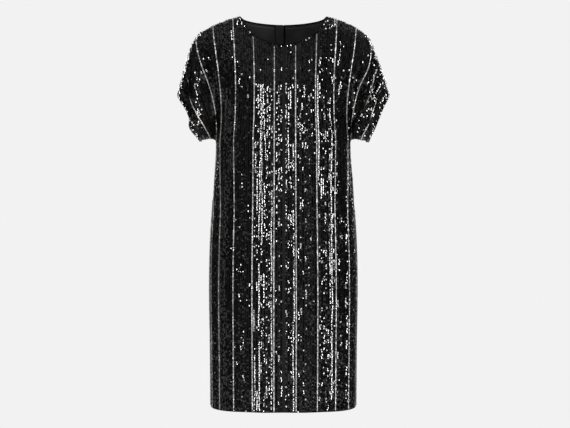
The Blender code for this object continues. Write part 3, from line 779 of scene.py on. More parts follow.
def clothColumns():
    neck, seam, hem = cutValues["neckHalf"], cutValues["sideSeam"], cutValues["sleeveHem"]
    return np.concatenate([
        np.linspace(0.0, neck, clothSteps["neck"] + 1),
        np.linspace(neck, seam, clothSteps["body"] + 1)[1:],
        np.linspace(seam, hem, clothSteps["sleeve"] + 1)[1:],
    ])


def clothShell(name, grid, turned, outside, inside, finishes=("net", "lining"), seamPoints=()):
    # cloth between two depths under a grid; along a seam it keeps to the seam's plane
    points = grid.reshape(-1, 3)
    normals = gridNormals(grid).reshape(-1, 3)
    if turned:
        normals = -normals
    for mask, axis in seamPoints:
        normals[mask.reshape(-1), axis] = 0.0
    normals = np.nan_to_num(normals)
    lengths = np.linalg.norm(normals, axis=1, keepdims=True)
    normals = normals / np.where(lengths > 0, lengths, 1.0)
    cells = gridCells(grid)
    if turned:
        cells = cells[:, ::-1]
    used = np.unique(cells)
    place = np.full(len(points), -1)
    place[used] = np.arange(len(used))
    outside = np.broadcast_to(outside, len(points))
    inside = np.broadcast_to(inside, len(points))
    outer = points[used] - normals[used] * outside[used, None]
    inner = points[used] - normals[used] * inside[used, None]
    cells = place[cells]
    edges = {}  # those with a cell on one side only
    for cell in cells.tolist():
        for start, end in zip(cell, cell[1:] + cell[:1]):
            if edges.pop((end, start), None) is None:
                edges[(start, end)] = True
    shift = len(used)
    rim = [(end, start, start + shift, end + shift) for start, end in edges]
    faces = cells.tolist() + (cells[:, ::-1] + shift).tolist() + rim
    kinds = np.concatenate([np.zeros(len(cells), int), np.ones(len(cells), int), np.zeros(len(rim), int)])
    made = meshObject(name, np.concatenate([outer, inner]), faces, finishes, kinds)
    flatMap(made, grid, used)
    return made


def flatMap(made, grid, used):
    # the cut laid flat: metres across and down, both skins side by side, in one map
    column = np.arange(grid.shape[0] * grid.shape[1]) // grid.shape[1]
    steps = np.nan_to_num(np.linalg.norm(np.diff(grid, axis=1), axis=2))
    down = np.concatenate([np.zeros((grid.shape[0], 1)), np.cumsum(steps, axis=1)], axis=1)
    width = np.nan_to_num(np.linalg.norm(np.diff(grid[:, 0], axis=0), axis=1))
    over = np.concatenate([[0.0], np.cumsum(width)])
    flat = np.stack([over[column], down.reshape(-1)], axis=1)[used]
    inner = flat + (over[-1] + mapValues["apart"], 0.0)
    flat = np.concatenate([flat, inner]) / mapValues["metres"] + mapValues["margin"]
    layer = made.data.uv_layers.new(name="OFBake")
    loops = np.zeros(len(made.data.loops), int)
    made.data.loops.foreach_get("vertex_index", loops)
    layer.data.foreach_set("uv", flat[loops].reshape(-1))


def seamMasks(grid, across, face):
    # points of a panel that lie on a seam, with the axis that the seam's plane faces
    neckOn = across >= cutValues["neckHalf"] - tiny
    bodyEnd = np.abs(across - cutValues["sideSeam"]) < tiny
    sleeveOn = across >= cutValues["sideSeam"] - tiny
    upperRows = clothSteps["upper"]
    flatY = np.zeros(grid.shape[:2], bool)
    flatY[neckOn, 0] = True
    flatY[sleeveOn, upperRows] = True
    flatY[bodyEnd, upperRows:] = True
    masks = [(flatY, 1)]
    if face == "back":
        centre = np.zeros(grid.shape[:2], bool)
        centre[0] = True
        masks.append((centre, 0))
    return masks


columns = clothColumns()
grids = {
    (face, side): sewnGrid(face, side, columns, clothSteps["upper"], clothSteps["lower"])
    for face in ("front", "back")
    for side in (-1, 1)
}


def makeFront():
    grid = np.concatenate([grids["front", -1][:0:-1], grids["front", 1]])
    masks = seamMasks(grid, np.concatenate([columns[:0:-1], columns]), "front")
    return clothShell("front_cloth", grid, True, 0.0, cutValues["cloth"], seamPoints=masks)


def makeBack(side):
    grid = grids["back", side]
    masks = seamMasks(grid, columns, "back")
    name = "back_cloth_" + sideNames[side]
    return clothShell(name, grid, side < 0, 0.0, cutValues["cloth"], seamPoints=masks)


frontCloth = makeFront()
backCloth = {side: makeBack(side) for side in (-1, 1)}
print("cloth made", len(frontCloth.data.polygons), "faces in the front")

liningValues = {
    "thick": 0.001,
    "edge": 0.0042,  # from the zip
    "across": 0.175,
    "below": 0.0042,  # the back's neckline
    "overTape": 0.0011,  # further in where it lies over the zip's tape
    "tapeSpan": (0.030, 0.030),  # across where that starts to end, and over how far
    "steps": 40,
}
tapeValues = {"thick": 0.0008, "width": 0.011, "footZ": -0.583, "columns": 6, "rows": 160}
partBelow = 0.0006  # how far under the neckline the other pieces inside the back start


def partGrid(side, across, topZ, footZ, rows, below=partBelow):
    # the back's outer face between two heights, read from its fine grid
    fine = panelGrid("back", side, across, clothSteps["fine"], clothSteps["fine"])
    made = np.zeros((len(across), rows + 1, 3))
    for column in range(len(across)):
        line = fine[column][np.isfinite(fine[column, :, 0])]
        top = min(topZ, line[0, 2] - below)
        heights = np.linspace(top, footZ, rows + 1)
        for axis in range(3):
            made[column, :, axis] = np.interp(-heights, -line[:, 2], line[:, axis])
    return made


def makeLining(side):
    name = "back_lining_" + sideNames[side]
    box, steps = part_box(name), liningValues["steps"]
    across = np.linspace(liningValues["edge"], liningValues["across"], steps)
    grid = partGrid(side, across, box[1][2], box[0][2], steps, liningValues["below"])
    start, span = liningValues["tapeSpan"]
    overTape = 1.0 - eased((np.abs(grid[..., 0]) - start) / span)
    depth = (cutValues["cloth"] + cutValues["seam"] + overTape * liningValues["overTape"]).reshape(-1)
    return clothShell(
        name + "_cloth", grid, side < 0, depth, depth + liningValues["thick"], ("lining", "lining")
    )


def makeTape(side):
    name = "zip_tape_" + sideNames[side]
    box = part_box(name)
    across = np.linspace(0.0, tapeValues["width"], tapeValues["columns"] + 1)
    grid = partGrid(side, across, box[1][2], box[0][2], tapeValues["rows"])
    grid[0, :, 0] = side * centreGap(grid[0, :, 2])
    depth = cutValues["cloth"] + cutValues["seam"]
    edge = np.zeros(grid.shape[:2], bool)
    edge[0] = True
    return clothShell(
        name + "_cloth", grid, side < 0, depth, depth + tapeValues["thick"], ("tape", "tape"), [(edge, 0)]
    )


backLinings = {side: makeLining(side) for side in (-1, 1)}
zipTapes = {side: makeTape(side) for side in (-1, 1)}
print("linings and tapes made")

# Strip of lining that covers the zip and its slider on the inside
guardValues = {
    "reach": {-1: 0.0205, 1: 0.0020},  # to either side of the zip
    # the stitch rows and black bindings along the guard's edges are real sewing that also stands in as
    # painted shade for the dark gaps there
    "stitched": {-1: 0.0186, 1: 0.0006},
    "binding": {-1: 0.0008, 1: 0.0016},
    "topZ": -cutValues["neckDrop"]["back"] - 0.0008,
    "footZ": -0.060,
    "top": 0.0076,  # how far inside the back's outer face
    "deep": 0.0088,
    "fall": 0.010,  # over which it gets that deep
    "thick": 0.0005,
    "stitchDepth": 0.0007,
}


def guardDepth(z):
    return guardValues["top"] + (guardValues["deep"] - guardValues["top"]) * eased(
        (guardValues["topZ"] - z) / guardValues["fall"]
    )


def guardGrid():
    cells, rows = clothSteps["guard"]
    left, right = (
        partGrid(side, np.linspace(0.0, reach, cells + 1), guardValues["topZ"], guardValues["footZ"], rows)
        for side, reach in guardValues["reach"].items()
    )
    grid = np.concatenate([left[:0:-1], right])
    grid[..., 1] -= guardDepth(grid[..., 2])
    return grid


def makeGuard():
    return clothShell("zip_guard_cloth", guardGrid(), False, 0.0, guardValues["thick"], ("lining", "lining"))


zipGuard = makeGuard()

# The skirt's hem, turned up inside
hemValues = {"turn": 0.020, "off": 0.0022, "thick": 0.0006, "edge": 0.0008, "fromSeam": 0.004, "rows": 6}


def makeHem(face, side):
    inner = columns[columns <= cutValues["sideSeam"] - hemValues["fromSeam"]]
    if face == "back":
        inner = inner[1:]
    lowest = cutValues["hemZ"] + hemValues["edge"]
    heights = np.linspace(lowest + hemValues["turn"], lowest, hemValues["rows"] + 1)
    grid = lowerGrid(face, side, inner / cutValues["sideSeam"], heights)
    turned = (side > 0) == (face == "front")
    depth = hemValues["off"]
    name = f"hem_turn_{face}_{sideNames[side]}_cloth"
    return clothShell(name, grid, turned, depth, depth + hemValues["thick"], ("net", "net"))


hemTurns = {(face, side): makeHem(face, side) for face in ("front", "back") for side in (-1, 1)}
print("zip guard and hem turns made")

# Rolled edges of black net, sewing thread and the zip's coil
edgeValues = {"neck": 0.0017, "sleeve": 0.0012, "hem": 0.0011}
threadValues = {
    "radius": 0.0002,
    "length": 0.0028,
    "pitch": 0.0042,
    "inset": 0.002,  # from the edges of the tapes, the guard and the hem turns
    "off": 0.0001,
    "near": 0.001,  # above and below the hem's stitches, where the cloth's normals are read
    "fromCentre": 0.004,
    "fromSide": 0.008,
    "tapeTopZ": -0.05,
}
coilValues = {
    "pitch": 0.0016, "half": 0.0017, "radius": 0.0007, "topZ": -0.046, "aboveFoot": 0.010, "off": 0.0039,
}
askew = np.array((0.31, 0.52, 0.80))  # a way that no edge or stitch runs along


def evenPath(path, pitch):
    # points at even steps along a path, with the way it runs there
    lengths = runLengths(path)
    at = np.linspace(0.0, lengths[-1], max(int(round(lengths[-1] / pitch)), 2) + 1)
    points = readAlong(path, lengths, at)
    return points, np.gradient(points, axis=0)


def ringFaces(start, sides):
    # the faces from one ring of points to the next
    turns = [(start + k, start + (k + 1) % sides) for k in range(sides)]
    return [(a, b, b + sides, a + sides) for a, b in turns]


def tubeMesh(name, paths, radius, finish, sides=8):
    # round cord along each path
    points, faces = [], []
    for path in paths:
        line, ways = evenPath(path, radius * 2.5)
        ways = ways / np.linalg.norm(ways, axis=1, keepdims=True)
        side = np.cross(ways[0], askew)
        start = len(points)
        for place, way in zip(line, ways):
            side = side - way * np.dot(side, way)
            side = side / np.linalg.norm(side)
            up = np.cross(way, side)
            for turn in np.arange(sides) * (math.tau / sides):
                points.append(place + radius * (math.cos(turn) * side + math.sin(turn) * up))
        for ring in range(len(line) - 1):
            faces += ringFaces(start + ring * sides, sides)
        last = start + (len(line) - 1) * sides
        faces.append(tuple(range(start + sides - 1, start - 1, -1)))
        faces.append(tuple(range(last, last + sides)))
    return meshObject(name, points, faces, (finish,))


def edgeLine(face, side, kind):
    # middle of the cloth along one of its cut edges
    grid = grids[face, side]
    middle = grid - outNormals(grid, face, side) * cutValues["cloth"] / 2
    if kind == "neck":
        return middle[columns <= cutValues["neckHalf"] + tiny, 0]
    if kind == "sleeve":
        return middle[-1, : clothSteps["upper"] + 1]
    return middle[columns <= cutValues["sideSeam"] + tiny, -1]


def roundEdge(kind):
    # the front's edge in one run from left to right, and one run for each back
    front = np.concatenate([edgeLine("front", -1, kind)[:0:-1], edgeLine("front", 1, kind)])
    return [front, edgeLine("back", -1, kind), edgeLine("back", 1, kind)]


def makeEdges():
    sleeves = [edgeLine(face, side, "sleeve") for face in ("front", "back") for side in (-1, 1)]
    guard = guardGrid()
    return [
        tubeMesh("neck_rolled_edge", roundEdge("neck"), edgeValues["neck"], "roll"),
        tubeMesh("sleeve_rolled_edges", sleeves, edgeValues["sleeve"], "roll"),
        tubeMesh("hem_rolled_edge", roundEdge("hem"), edgeValues["hem"], "roll"),
        # the guard's black bindings: real edges that also stand in as painted shade for the dark gaps along
        # the guard
        tubeMesh("zip_guard_left_binding", [guard[0]], guardValues["binding"][-1], "roll"),
        tubeMesh("zip_guard_right_binding", [guard[-1]], guardValues["binding"][1], "roll"),
    ]


# A rod's rings: how far along and how wide, as shares of its half length and its radius
rodRings = ((-1.0, 0.45), (-0.86, 0.85), (-0.6, 1.0), (0.6, 1.0), (0.86, 0.85), (1.0, 0.45))


def barMesh(name, centres, ways, half, radius, finish, sides=6):
    # many short rods with rounded ends in one mesh
    ways = unit(ways)
    side = unit(np.cross(ways, askew))
    up = np.cross(ways, side)
    rings = []
    for along, wide in rodRings:
        for turn in np.arange(sides) * (math.tau / sides):
            out = math.cos(turn) * side + math.sin(turn) * up
            rings.append(centres + ways * half * along + radius * wide * out)
    points = np.stack(rings, axis=1)
    count = points.shape[1]
    rod = [face for start in range(0, count - sides, sides) for face in ringFaces(start, sides)]
    rod += [tuple(range(sides - 1, -1, -1)), tuple(range(count - sides, count))]
    faces = [tuple(v + count * n for v in face) for n in range(len(centres)) for face in rod]
    return meshObject(name, points.reshape(-1, 3), faces, (finish,))


def insideLine(side, across, topZ, footZ, depth, near=0.002):
    # a line down the inside of the back, at a depth under its outer face
    wide = np.array([max(across - near, 0.0), across, across + near])
    grid = partGrid(side, wide, topZ, footZ, clothSteps["fine"])
    return grid[1] - outNormals(grid, "back", side)[1] * depth


def makeCoil():
    footZ = tapeValues["footZ"] + coilValues["aboveFoot"]
    right, left = (insideLine(side, 0.0, coilValues["topZ"], footZ, coilValues["off"]) for side in (1, -1))
    line = (right + left) / 2
    line[:, 0] = 0.0
    places = evenPath(line, coilValues["pitch"])[0]
    over = np.tile((1.0, 0.0, 0.0), (len(places), 1))
    return barMesh("zip_coil", places, over, coilValues["half"], coilValues["radius"], "coil")


# the guard's stitch rows: real dark thread that also stands in as painted shade for the gaps along its edges
def guardStitches(side):
    footZ = guardValues["footZ"] + threadValues["inset"]
    line = insideLine(side, guardValues["stitched"][side], guardValues["topZ"], footZ, 0.0)
    line[:, 1] -= guardDepth(line[:, 2]) + guardValues["stitchDepth"]
    return line


def tapeStitches(side):
    across = tapeValues["width"] - threadValues["inset"]
    footZ = tapeValues["footZ"] + 2 * threadValues["inset"]
    depth = cutValues["cloth"] + cutValues["seam"] + tapeValues["thick"] + threadValues["off"]
    return insideLine(side, across, threadValues["tapeTopZ"], footZ, depth)


def neckStitches(face, side):
    grid = grids[face, side]
    inner = grid - outNormals(grid, face, side) * (cutValues["cloth"] + threadValues["off"])
    return inner[(columns <= cutValues["neckHalf"]) & (columns > threadValues["fromCentre"]), 2]


def hemStitches(face, side):
    topZ = cutValues["hemZ"] + hemValues["edge"] + hemValues["turn"] - threadValues["inset"]
    farthest = cutValues["sideSeam"] - threadValues["fromSide"]
    across = columns[(columns <= farthest) & (columns > threadValues["fromCentre"])]
    heights = topZ + threadValues["near"] * np.array((1.0, 0.0, -1.0))
    ring = lowerGrid(face, side, across / cutValues["sideSeam"], heights)
    depth = hemValues["off"] + hemValues["thick"] + threadValues["off"]
    return (ring - outNormals(ring, face, side) * depth)[:, 1]


def makeThread():
    # running stitches: down the guard and both tapes, round the neck inside and along the hem turns
    lines = []
    for side in (-1, 1):
        lines += [guardStitches(side), tapeStitches(side)]
        for face in ("front", "back"):
            lines += [neckStitches(face, side), hemStitches(face, side)]
    centres, ways = [], []
    for line in lines:
        points, along = evenPath(line, threadValues["pitch"])
        centres.append(points[1:-1])
        ways.append(along[1:-1])
    half = threadValues["length"] / 2
    return barMesh(
        "sewing_thread", np.concatenate(centres), np.concatenate(ways), half, threadValues["radius"], "thread"
    )


edges = makeEdges()
zipCoil = makeCoil()
thread = makeThread()
print("edges, coil and thread made")


def firstStripe(face, side):
    return stripeValues["spacing"] / 2 + (stripeValues["shift"] * side if face == "front" else 0.0)


def stripePlaces(face, side):
    # places across where a stripe runs, on one side of a face
    places = firstStripe(face, side) + stripeValues["spacing"] * np.arange(-1, 8)
    places = places[(places > 0.0) & (places < cutValues["sleeveHem"] - stripeValues["fromHem"])]
    if face == "front" and side < 0:
        places = np.concatenate([places[places < stripeValues["leftFrontFrom"]], stripeValues["leftFront"]])
    return places


def sequinColumns(face, side):
    # places across of the black columns between the stripes
    every = sequinValues["columns"] + 1
    pitch = stripeValues["spacing"] / every
    index = np.arange(-20, 110)
    places = firstStripe(face, side) + pitch * index
    black = index % every != 0
    if face == "front" and side < 0:
        black |= places > sequinValues["blackFrom"]
    keep = black & (places > pitch * sequinValues["fromCentre"])
    keep &= places < cutValues["sleeveHem"] - sequinValues["fromHem"]
    return places[keep], index[keep]


# Rows of the finest grids, and two grain lines inside the flare, for the sake of its normals
stationValues = {
    "upper": 150,
    "lower": 90,
    "flare": 180,
    "inside": (0.226, 0.231),
    "near": 0.002,
    "fromFoot": 0.35,  # of a step, the least between the last sequin of a column and its foot
    "flareFrom": 0.5,
}


def columnStations(grid, normals, step, first):
    # places down each column at even steps over the cloth, with the cloth's frame there
    stations = []
    near = stationValues["near"]  # up and down the column, between which its way is measured
    for column in range(grid.shape[0]):
        rows = np.isfinite(normals[column, :, 0]) & np.isfinite(grid[column, :, 0])
        line, facing = grid[column, rows], normals[column, rows]
        lengths = runLengths(line)
        start = first[column] if np.ndim(first) else first
        if len(line) < 4 or lengths[-1] < start + step:
            continue
        at = np.arange(start, lengths[-1] - step * stationValues["fromFoot"], step)
        down = readAlong(line, lengths, at + near) - readAlong(line, lengths, at - near)
        stations.append(
            (np.full(len(at), column), at, readAlong(line, lengths, at), down, readAlong(facing, lengths, at))
        )
    return [np.concatenate([s[k] for s in stations]) for k in range(5)]


def discMesh(
    name, centres, down, surface, facing, radius, cup, lift, roll, spin, height, kinds, finishes, sides=8
):
    # many dished discs in one mesh: each lifted at its lower edge and rolled sideways
    facing = unit(facing)
    down = unit(down - facing * np.sum(down * facing, axis=1, keepdims=True))
    over = np.cross(down, facing)
    lifted = facing * np.cos(lift)[:, None] - down * np.sin(lift)[:, None]
    lowered = down * np.cos(lift)[:, None] + facing * np.sin(lift)[:, None]
    rolled = over * np.cos(roll)[:, None] + lifted * np.sin(roll)[:, None]
    turned = lifted * np.cos(roll)[:, None] - over * np.sin(roll)[:, None]
    middle = centres + unit(surface) * height[:, None]
    angles = spin[:, None] + np.arange(sides) * (math.tau / sides)
    points = middle[:, None] + radius * (
        np.cos(angles)[..., None] * rolled[:, None] + np.sin(angles)[..., None] * lowered[:, None]
    )
    flipped = np.sum(np.cross(points[:, 1] - points[:, 0], points[:, 2] - points[:, 0]) * turned, axis=1) < 0
    points[flipped] = points[flipped, ::-1]
    points = np.concatenate([points, (middle - turned * cup)[:, None]], axis=1)
    ring = np.arange(sides)
    fan = np.stack([ring, np.roll(ring, -1), np.full(sides, sides)], axis=1).reshape(-1)
    loops = (np.arange(len(centres))[:, None] * (sides + 1) + fan).reshape(-1)
    mesh = bpy.data.meshes.new(name)
    mesh.vertices.add(len(centres) * (sides + 1))
    mesh.vertices.foreach_set("co", points.reshape(-1).astype(np.float32))
    mesh.loops.add(len(loops))
    mesh.loops.foreach_set("vertex_index", loops.astype(np.int32))
    mesh.polygons.add(len(loops) // 3)
    mesh.polygons.foreach_set("loop_start", np.arange(0, len(loops), 3, dtype=np.int32))
    mesh.polygons.foreach_set("loop_total", np.full(len(loops) // 3, 3, dtype=np.int32))
    for key in finishes:
        mesh.materials.append(materials[key])
    mesh.polygons.foreach_set("material_index", np.repeat(kinds, sides).astype(np.int32))
    mesh.update(calc_edges=True)
    mesh.validate()
    mesh.shade_smooth()
    made = bpy.data.objects.new(name, mesh)
    scene.collection.objects.link(made)
    return made


def fineGrid(face, side, across):
    grid = panelGrid(face, side, across, stationValues["upper"], stationValues["lower"], grain=True)
    return grid, outNormals(grid, face, side)


def flareGrid(face, side, across):
    # the grain lines that the side seam cuts below the underarm
    inside = stationValues["inside"]
    heights = lowerHeights(stationValues["flare"])
    grid = lowerGrid(face, side, grainShares(np.concatenate([inside, across]), heights), heights)
    return grid[len(inside) :], outNormals(grid, face, side)[len(inside) :]


def stationsOf(face, side, across, step, first):
    # stations down every grain line, with those of the flare after the rest
    grid, normals = fineGrid(face, side, across)
    found = columnStations(grid, normals, step, first)
    flared = np.flatnonzero((across > cutValues["sideSeam"]) & (across < cutValues["flareEnd"]))
    grid, normals = flareGrid(face, side, across[flared])
    more = columnStations(grid, normals, step, step * stationValues["flareFrom"])
    more[0] = flared[more[0]]
    flare = np.concatenate([np.zeros(len(found[0]), bool), np.ones(len(more[0]), bool)])
    return [np.concatenate([a, b]) for a, b in zip(found, more)] + [flare]


def facingWay(azimuth, elevation):
    # unit vectors that face the front, turned to the right by azimuth and up by elevation
    azimuth, elevation = np.radians(azimuth), np.radians(elevation)
    return np.stack([
        np.sin(azimuth) * np.cos(elevation),
        -np.cos(azimuth) * np.cos(elevation),
        np.sin(elevation) * np.ones_like(azimuth),
    ], axis=-1)


def mirrorWay(points, light):
    # the way a sequin must face to show that light to the camera
    return unit(unit(np.array(cameraValues["place"]) - points) + unit(np.array(lightPlaces[light]) - points))


def waysOf(vectors):
    azimuth = np.degrees(np.arctan2(vectors[:, 0], -vectors[:, 1]))
    return azimuth, np.degrees(np.arcsin(np.clip(vectors[:, 2], -1.0, 1.0)))


def runsOf(draw, column, mean):
    # numbers that stay the same for a few sequins down a column
    starts = draw.uniform(0.0, 1.0, len(column)) < 1.0 / mean
    starts[0] = True
    starts[1:] |= column[1:] != column[:-1]
    return np.cumsum(starts) - 1


def within(places, start, end, z, top, foot):
    return (places > start) & (places < end) & (z < top) & (z > foot)


def chances(across, at, centres):
    # for each of the front's sequins: the share that faces a light where it lies (under 0 outside
    # every zone), the most that it leans, whether it is the right light, and if it is over a sleeve
    count = len(across)
    chance, most = np.full(count, -1.0), np.zeros(count)
    right, edge = np.zeros(count, bool), np.zeros(count, bool)
    for start, end, top, foot, share, light, lean in brushedZones:
        zone = within(across, start, end, centres[:, 2], top, foot)
        chance[zone], most[zone], right[zone] = share, lean, light == "right"
    for onSide, start, end, share in brushValues["overSleeve"]:
        outer = (onSide * across > brushValues["overSleeveFrom"]) & (at > start) & (at < end)
        outer &= centres[:, 2] > brushValues["overSleeveFootZ"]
        chance[outer], most[outer] = share, brushValues["overSleeveMost"]
        edge |= outer
    for start, end, top, foot, share, light, lean in glintPatches:
        patch = within(centres[:, 0], start, end, centres[:, 2], top, foot)
        chance[patch], most[patch], right[patch] = share, lean, light == "right"
    return chance, most, right, edge


def brush(draw, column, run, across, at, centres, surface, lift, roll):
    # which way each of the front's sequins faces: in a brushed zone a share of the runs
    # faces a light, and the rest keep off the lights
    count = len(across)
    chance, most, right, edge = chances(across, at, centres)
    azimuth, elevation = waysOf(surface)
    azimuth, elevation = azimuth + roll, elevation + lift
    ways = {light: waysOf(mirrorWay(centres, light)) for light in lightPlaces}
    for light in lightPlaces:
        off = azimuth - ways[light][0]
        near = (np.abs(off) < brushValues["aside"]) & (chance >= 0.0)
        aside = brushValues["aside"] + np.abs(draw.normal(0.0, brushValues["asideSpread"], count))
        azimuth[near] = (ways[light][0] + np.where(off < 0.0, -aside, aside))[near]
    longRun = runsOf(draw, column, sequinValues["longRun"])
    alone = draw.uniform(0.0, 1.0, run[-1] + 1)[run]
    shared, own = draw.uniform(0.0, 1.0, longRun[-1] + 1)[longRun], draw.uniform(0.0, 1.0, count)
    together = brushValues["together"] * shared + (1.0 - brushValues["together"]) * own
    thick = chance >= brushValues["thickFrom"]
    picked = np.where(thick, together, alone) < chance
    shared = draw.normal(0.0, brushValues["sharedSpread"], longRun[-1] + 1)[longRun]
    own = draw.normal(0.0, brushValues["ownSpread"], count)
    spread = np.where(thick, shared + own, draw.normal(0.0, brushValues["aloneSpread"], count))
    rise = draw.normal(0.0, brushValues["riseSpread"], count)
    lit = facingWay(
        np.where(right, ways["right"][0], ways["key"][0]) + spread,
        np.where(right, ways["right"][1], ways["key"][1]) + rise,
    )
    picked &= np.sum(lit * surface, axis=1) > np.cos(np.radians(most))
    facing = facingWay(azimuth, elevation)
    facing[picked] = lit[picked]
    return facing, picked & edge


def makeSequins(face, side, name, seed):
    draw = np.random.default_rng(seed)
    values = sequinValues
    places, index = sequinColumns(face, side)
    first = values["radius"] * values["fromSeam"] + draw.uniform(0.0, values["step"], len(places))
    column, at, centres, down, facing, flare = stationsOf(face, side, places, values["step"], first)
    count, across, order, z = len(column), places[column], index[column], centres[:, 2]
    # fewer columns where the cut draws in towards the underarm
    below = ~flare & (across > cutValues["sideSeam"]) & (z < values["thinnedZ"][0])
    keep = ~((flare | below) & (order % 2 == 1))
    keep &= ~(below & (z < values["thinnedZ"][1]) & (order % 4 == 2))
    keep &= ~(flare & (np.abs(across - stripeValues["skirtOnly"]) < stripeValues["same"]))
    run = runsOf(draw, column, values["run"])
    lift = draw.normal(values["lift"], values["liftSpread"], count)
    roll = draw.normal(0.0, values["rollSpread"], count)
    roll += draw.normal(0.0, values["runSpread"], run[-1] + 1)[run]
    roll += draw.normal(0.0, values["columnSpread"], len(places))[column]
    spin = draw.uniform(0.0, math.tau, count)
    height = values["off"] + values["higher"] * (order % 2)
    smoky = draw.choice(values["smokeShares"], len(places), p=values["smokeOdds"])[column]
    kinds = np.where(draw.uniform(0.0, 1.0, count) < smoky, 1, 0)
    fallen = draw.uniform(0.0, 1.0, count) < values["fallen"]
    lift = lift - np.where(fallen, draw.uniform(*values["fallenLean"], count), 0.0)
    gathered = (across > values["gatheredFrom"][0]) & (z < values["gatheredFrom"][1]) & ~flare
    kinds[gathered & (draw.uniform(0.0, 1.0, count) < values["bronzeShare"])] = 2
    reach, share = values["shoulderLoose"]
    loose = (at < reach) & (across > cutValues["neckHalf"]) & (draw.uniform(0.0, 1.0, count) < share)
    start, share = values["sleeveLoose"]
    loose |= (across > start) & ~flare & (draw.uniform(0.0, 1.0, count) < share)
    height = height + np.where(loose, draw.uniform(0.0, values["looseHeight"], count), 0.0)
    lift = lift + np.where(loose, draw.normal(0.0, values["looseSpread"], count), 0.0)
    roll = roll + np.where(loose, draw.normal(0.0, values["looseSpread"], count), 0.0)
    surface = unit(facing)
    if face == "front":
        facing, proud = brush(draw, column, run, side * across, at, centres, surface, lift, roll)
        height = height + np.where(proud, brushValues["proud"], 0.0)
        lift, roll = np.zeros(count), np.zeros(count)
    else:
        facing = surface
        longRun = runsOf(draw, column, values["longRun"])
        roll += draw.normal(0.0, values["backSpread"], longRun[-1] + 1)[longRun]
        lift, roll = np.radians(lift), np.radians(roll)
    return discMesh(
        name, centres[keep], down[keep], surface[keep], facing[keep], values["radius"], values["cup"],
        lift[keep], roll[keep], spin[keep], height[keep], kinds[keep], ("black", "smoke", "bronze"),
    )


def makeStripes(face, side, name, seed):
    draw = np.random.default_rng(seed)
    values = stripeValues
    places = stripePlaces(face, side)
    first = np.where(places < cutValues["neckHalf"], values["fromNeck"], values["fromSeam"])
    column, _, centres, down, facing, flare = stationsOf(face, side, places, values["step"], first)
    if face == "front" and side < 0:
        kept = flare | (np.abs(places[column] - values["skirtOnly"]) > values["same"])
        column, centres, down, facing = (part[kept] for part in (column, centres, down, facing))
    count, across, z = len(column), places[column], centres[:, 2]
    lift = np.radians(draw.normal(0.0, values["liftSpread"], count))
    roll = np.radians(draw.normal(0.0, values["rollSpread"], count))
    surface = unit(facing)
    if face == "front":
        # the front's stripes are pressed towards a light too
        toRight = (side * across > values["rightLightFrom"])[:, None]
        light = np.where(toRight, mirrorWay(centres, "right"), mirrorWay(centres, "key"))
        yoke = z > values["yokeFootZ"]
        pressed = np.where(yoke, values["yokePressed"], values["pressed"])
        pressed[yoke & (across > values["shoulderFrom"])] = values["shoulderPressed"]
        facing = unit(surface * (1.0 - pressed)[:, None] + light * pressed[:, None])
        reach = values["shadedReach"]
        for shadedSide, place, top, foot in shadedStripes:
            if shadedSide == side:
                shaded = within(across, place - reach, place + reach, z, top, foot)
                facing[shaded] = unit(surface[shaded] * values["shadedTurn"] - light[shaded])
    # painted shade: a share of the stripes' sequins, picked at random, takes the darker copy of the film
    shadedSilver = values["shadedSilverShare"]
    return discMesh(
        name, centres, down, surface, facing, values["radius"], values["cup"], lift, roll,
        draw.uniform(0.0, math.tau, count), np.full(count, values["off"]),
        draw.choice(2, count, p=(1.0 - shadedSilver, shadedSilver)), ("silver", "shadedSilver"),
    )


edgeSequinValues = {
    "pitch": 0.0050,
    "radius": 0.0023,
    "from": 0.0028,
    "off": 0.0015,
    "spread": 9.0,  # degrees
    "litSpread": 0.8,
    "lift": 4.0,
    "smokeShare": 0.3,
    "sleeveLit": 0.25,
    "neckLit": (-0.107, -0.097, -0.082, -0.003, 0.009, 0.020, 0.055, 0.065, 0.101),  # x of those that shine
    "neckGrid": (160, 40, 0.001),  # columns, rows, and how far from the neck's end the last column is
    "sleeveNear": (0.006, 0.001),  # grain lines to both sides of the sleeve's row, from the hem
}


def edgeStations(face, side, kind):
    # places for a row of sequins just inside the neckline or the sleeve's hem
    pitch, off = edgeSequinValues["pitch"], edgeSequinValues["from"]
    if kind == "neck":
        count, rows, end = edgeSequinValues["neckGrid"]
        grid, normals = fineGrid(face, side, np.linspace(pitch / 2, cutValues["neckHalf"] - end, count))
        both = np.concatenate([grid, normals], axis=2)[:, :rows]
        line = np.concatenate([readAlong(part, runLengths(part[:, :3]), [off]) for part in both])
    else:
        above, below = edgeSequinValues["sleeveNear"]
        grid, normals = fineGrid(face, side, cutValues["sleeveHem"] - np.array((above, off, below)))
        rows = np.isfinite(grid[1, :, 0])
        line = np.concatenate([grid[1, rows], normals[1, rows]], axis=1)
    lengths = runLengths(line[:, :3])
    found = readAlong(line, lengths, np.arange(pitch / 2, lengths[-1], pitch))
    ways = np.gradient(found[:, :3], axis=0)
    return found[:, :3], unit(np.cross(ways, found[:, 3:])), unit(found[:, 3:])


def edgeFacing(draw, face, side, kind, centres, surface):
    # the front's edge sequins lie unevenly, and some of them face a light
    count, spread = len(centres), edgeSequinValues["spread"]
    azimuth, elevation = waysOf(surface)
    azimuth = azimuth + draw.normal(0.0, spread, count)
    elevation = elevation + draw.normal(edgeSequinValues["lift"], spread, count)
    if face == "back":
        return surface
    facing = facingWay(azimuth, elevation)
    picked = draw.uniform(0.0, 1.0, count) < edgeSequinValues["sleeveLit"]
    if kind == "neck":
        places = np.array(edgeSequinValues["neckLit"])
        near = np.abs(centres[:, 0][:, None] - places[places * side > 0]).argmin(axis=0)
        picked = np.isin(np.arange(count), near)
    spread = draw.normal(0.0, edgeSequinValues["litSpread"], (2, count))
    way, rise = waysOf(mirrorWay(centres, "right" if side > 0 and kind == "sleeve" else "key"))
    facing[picked] = facingWay(way + spread[0], rise + spread[1])[picked]
    return facing


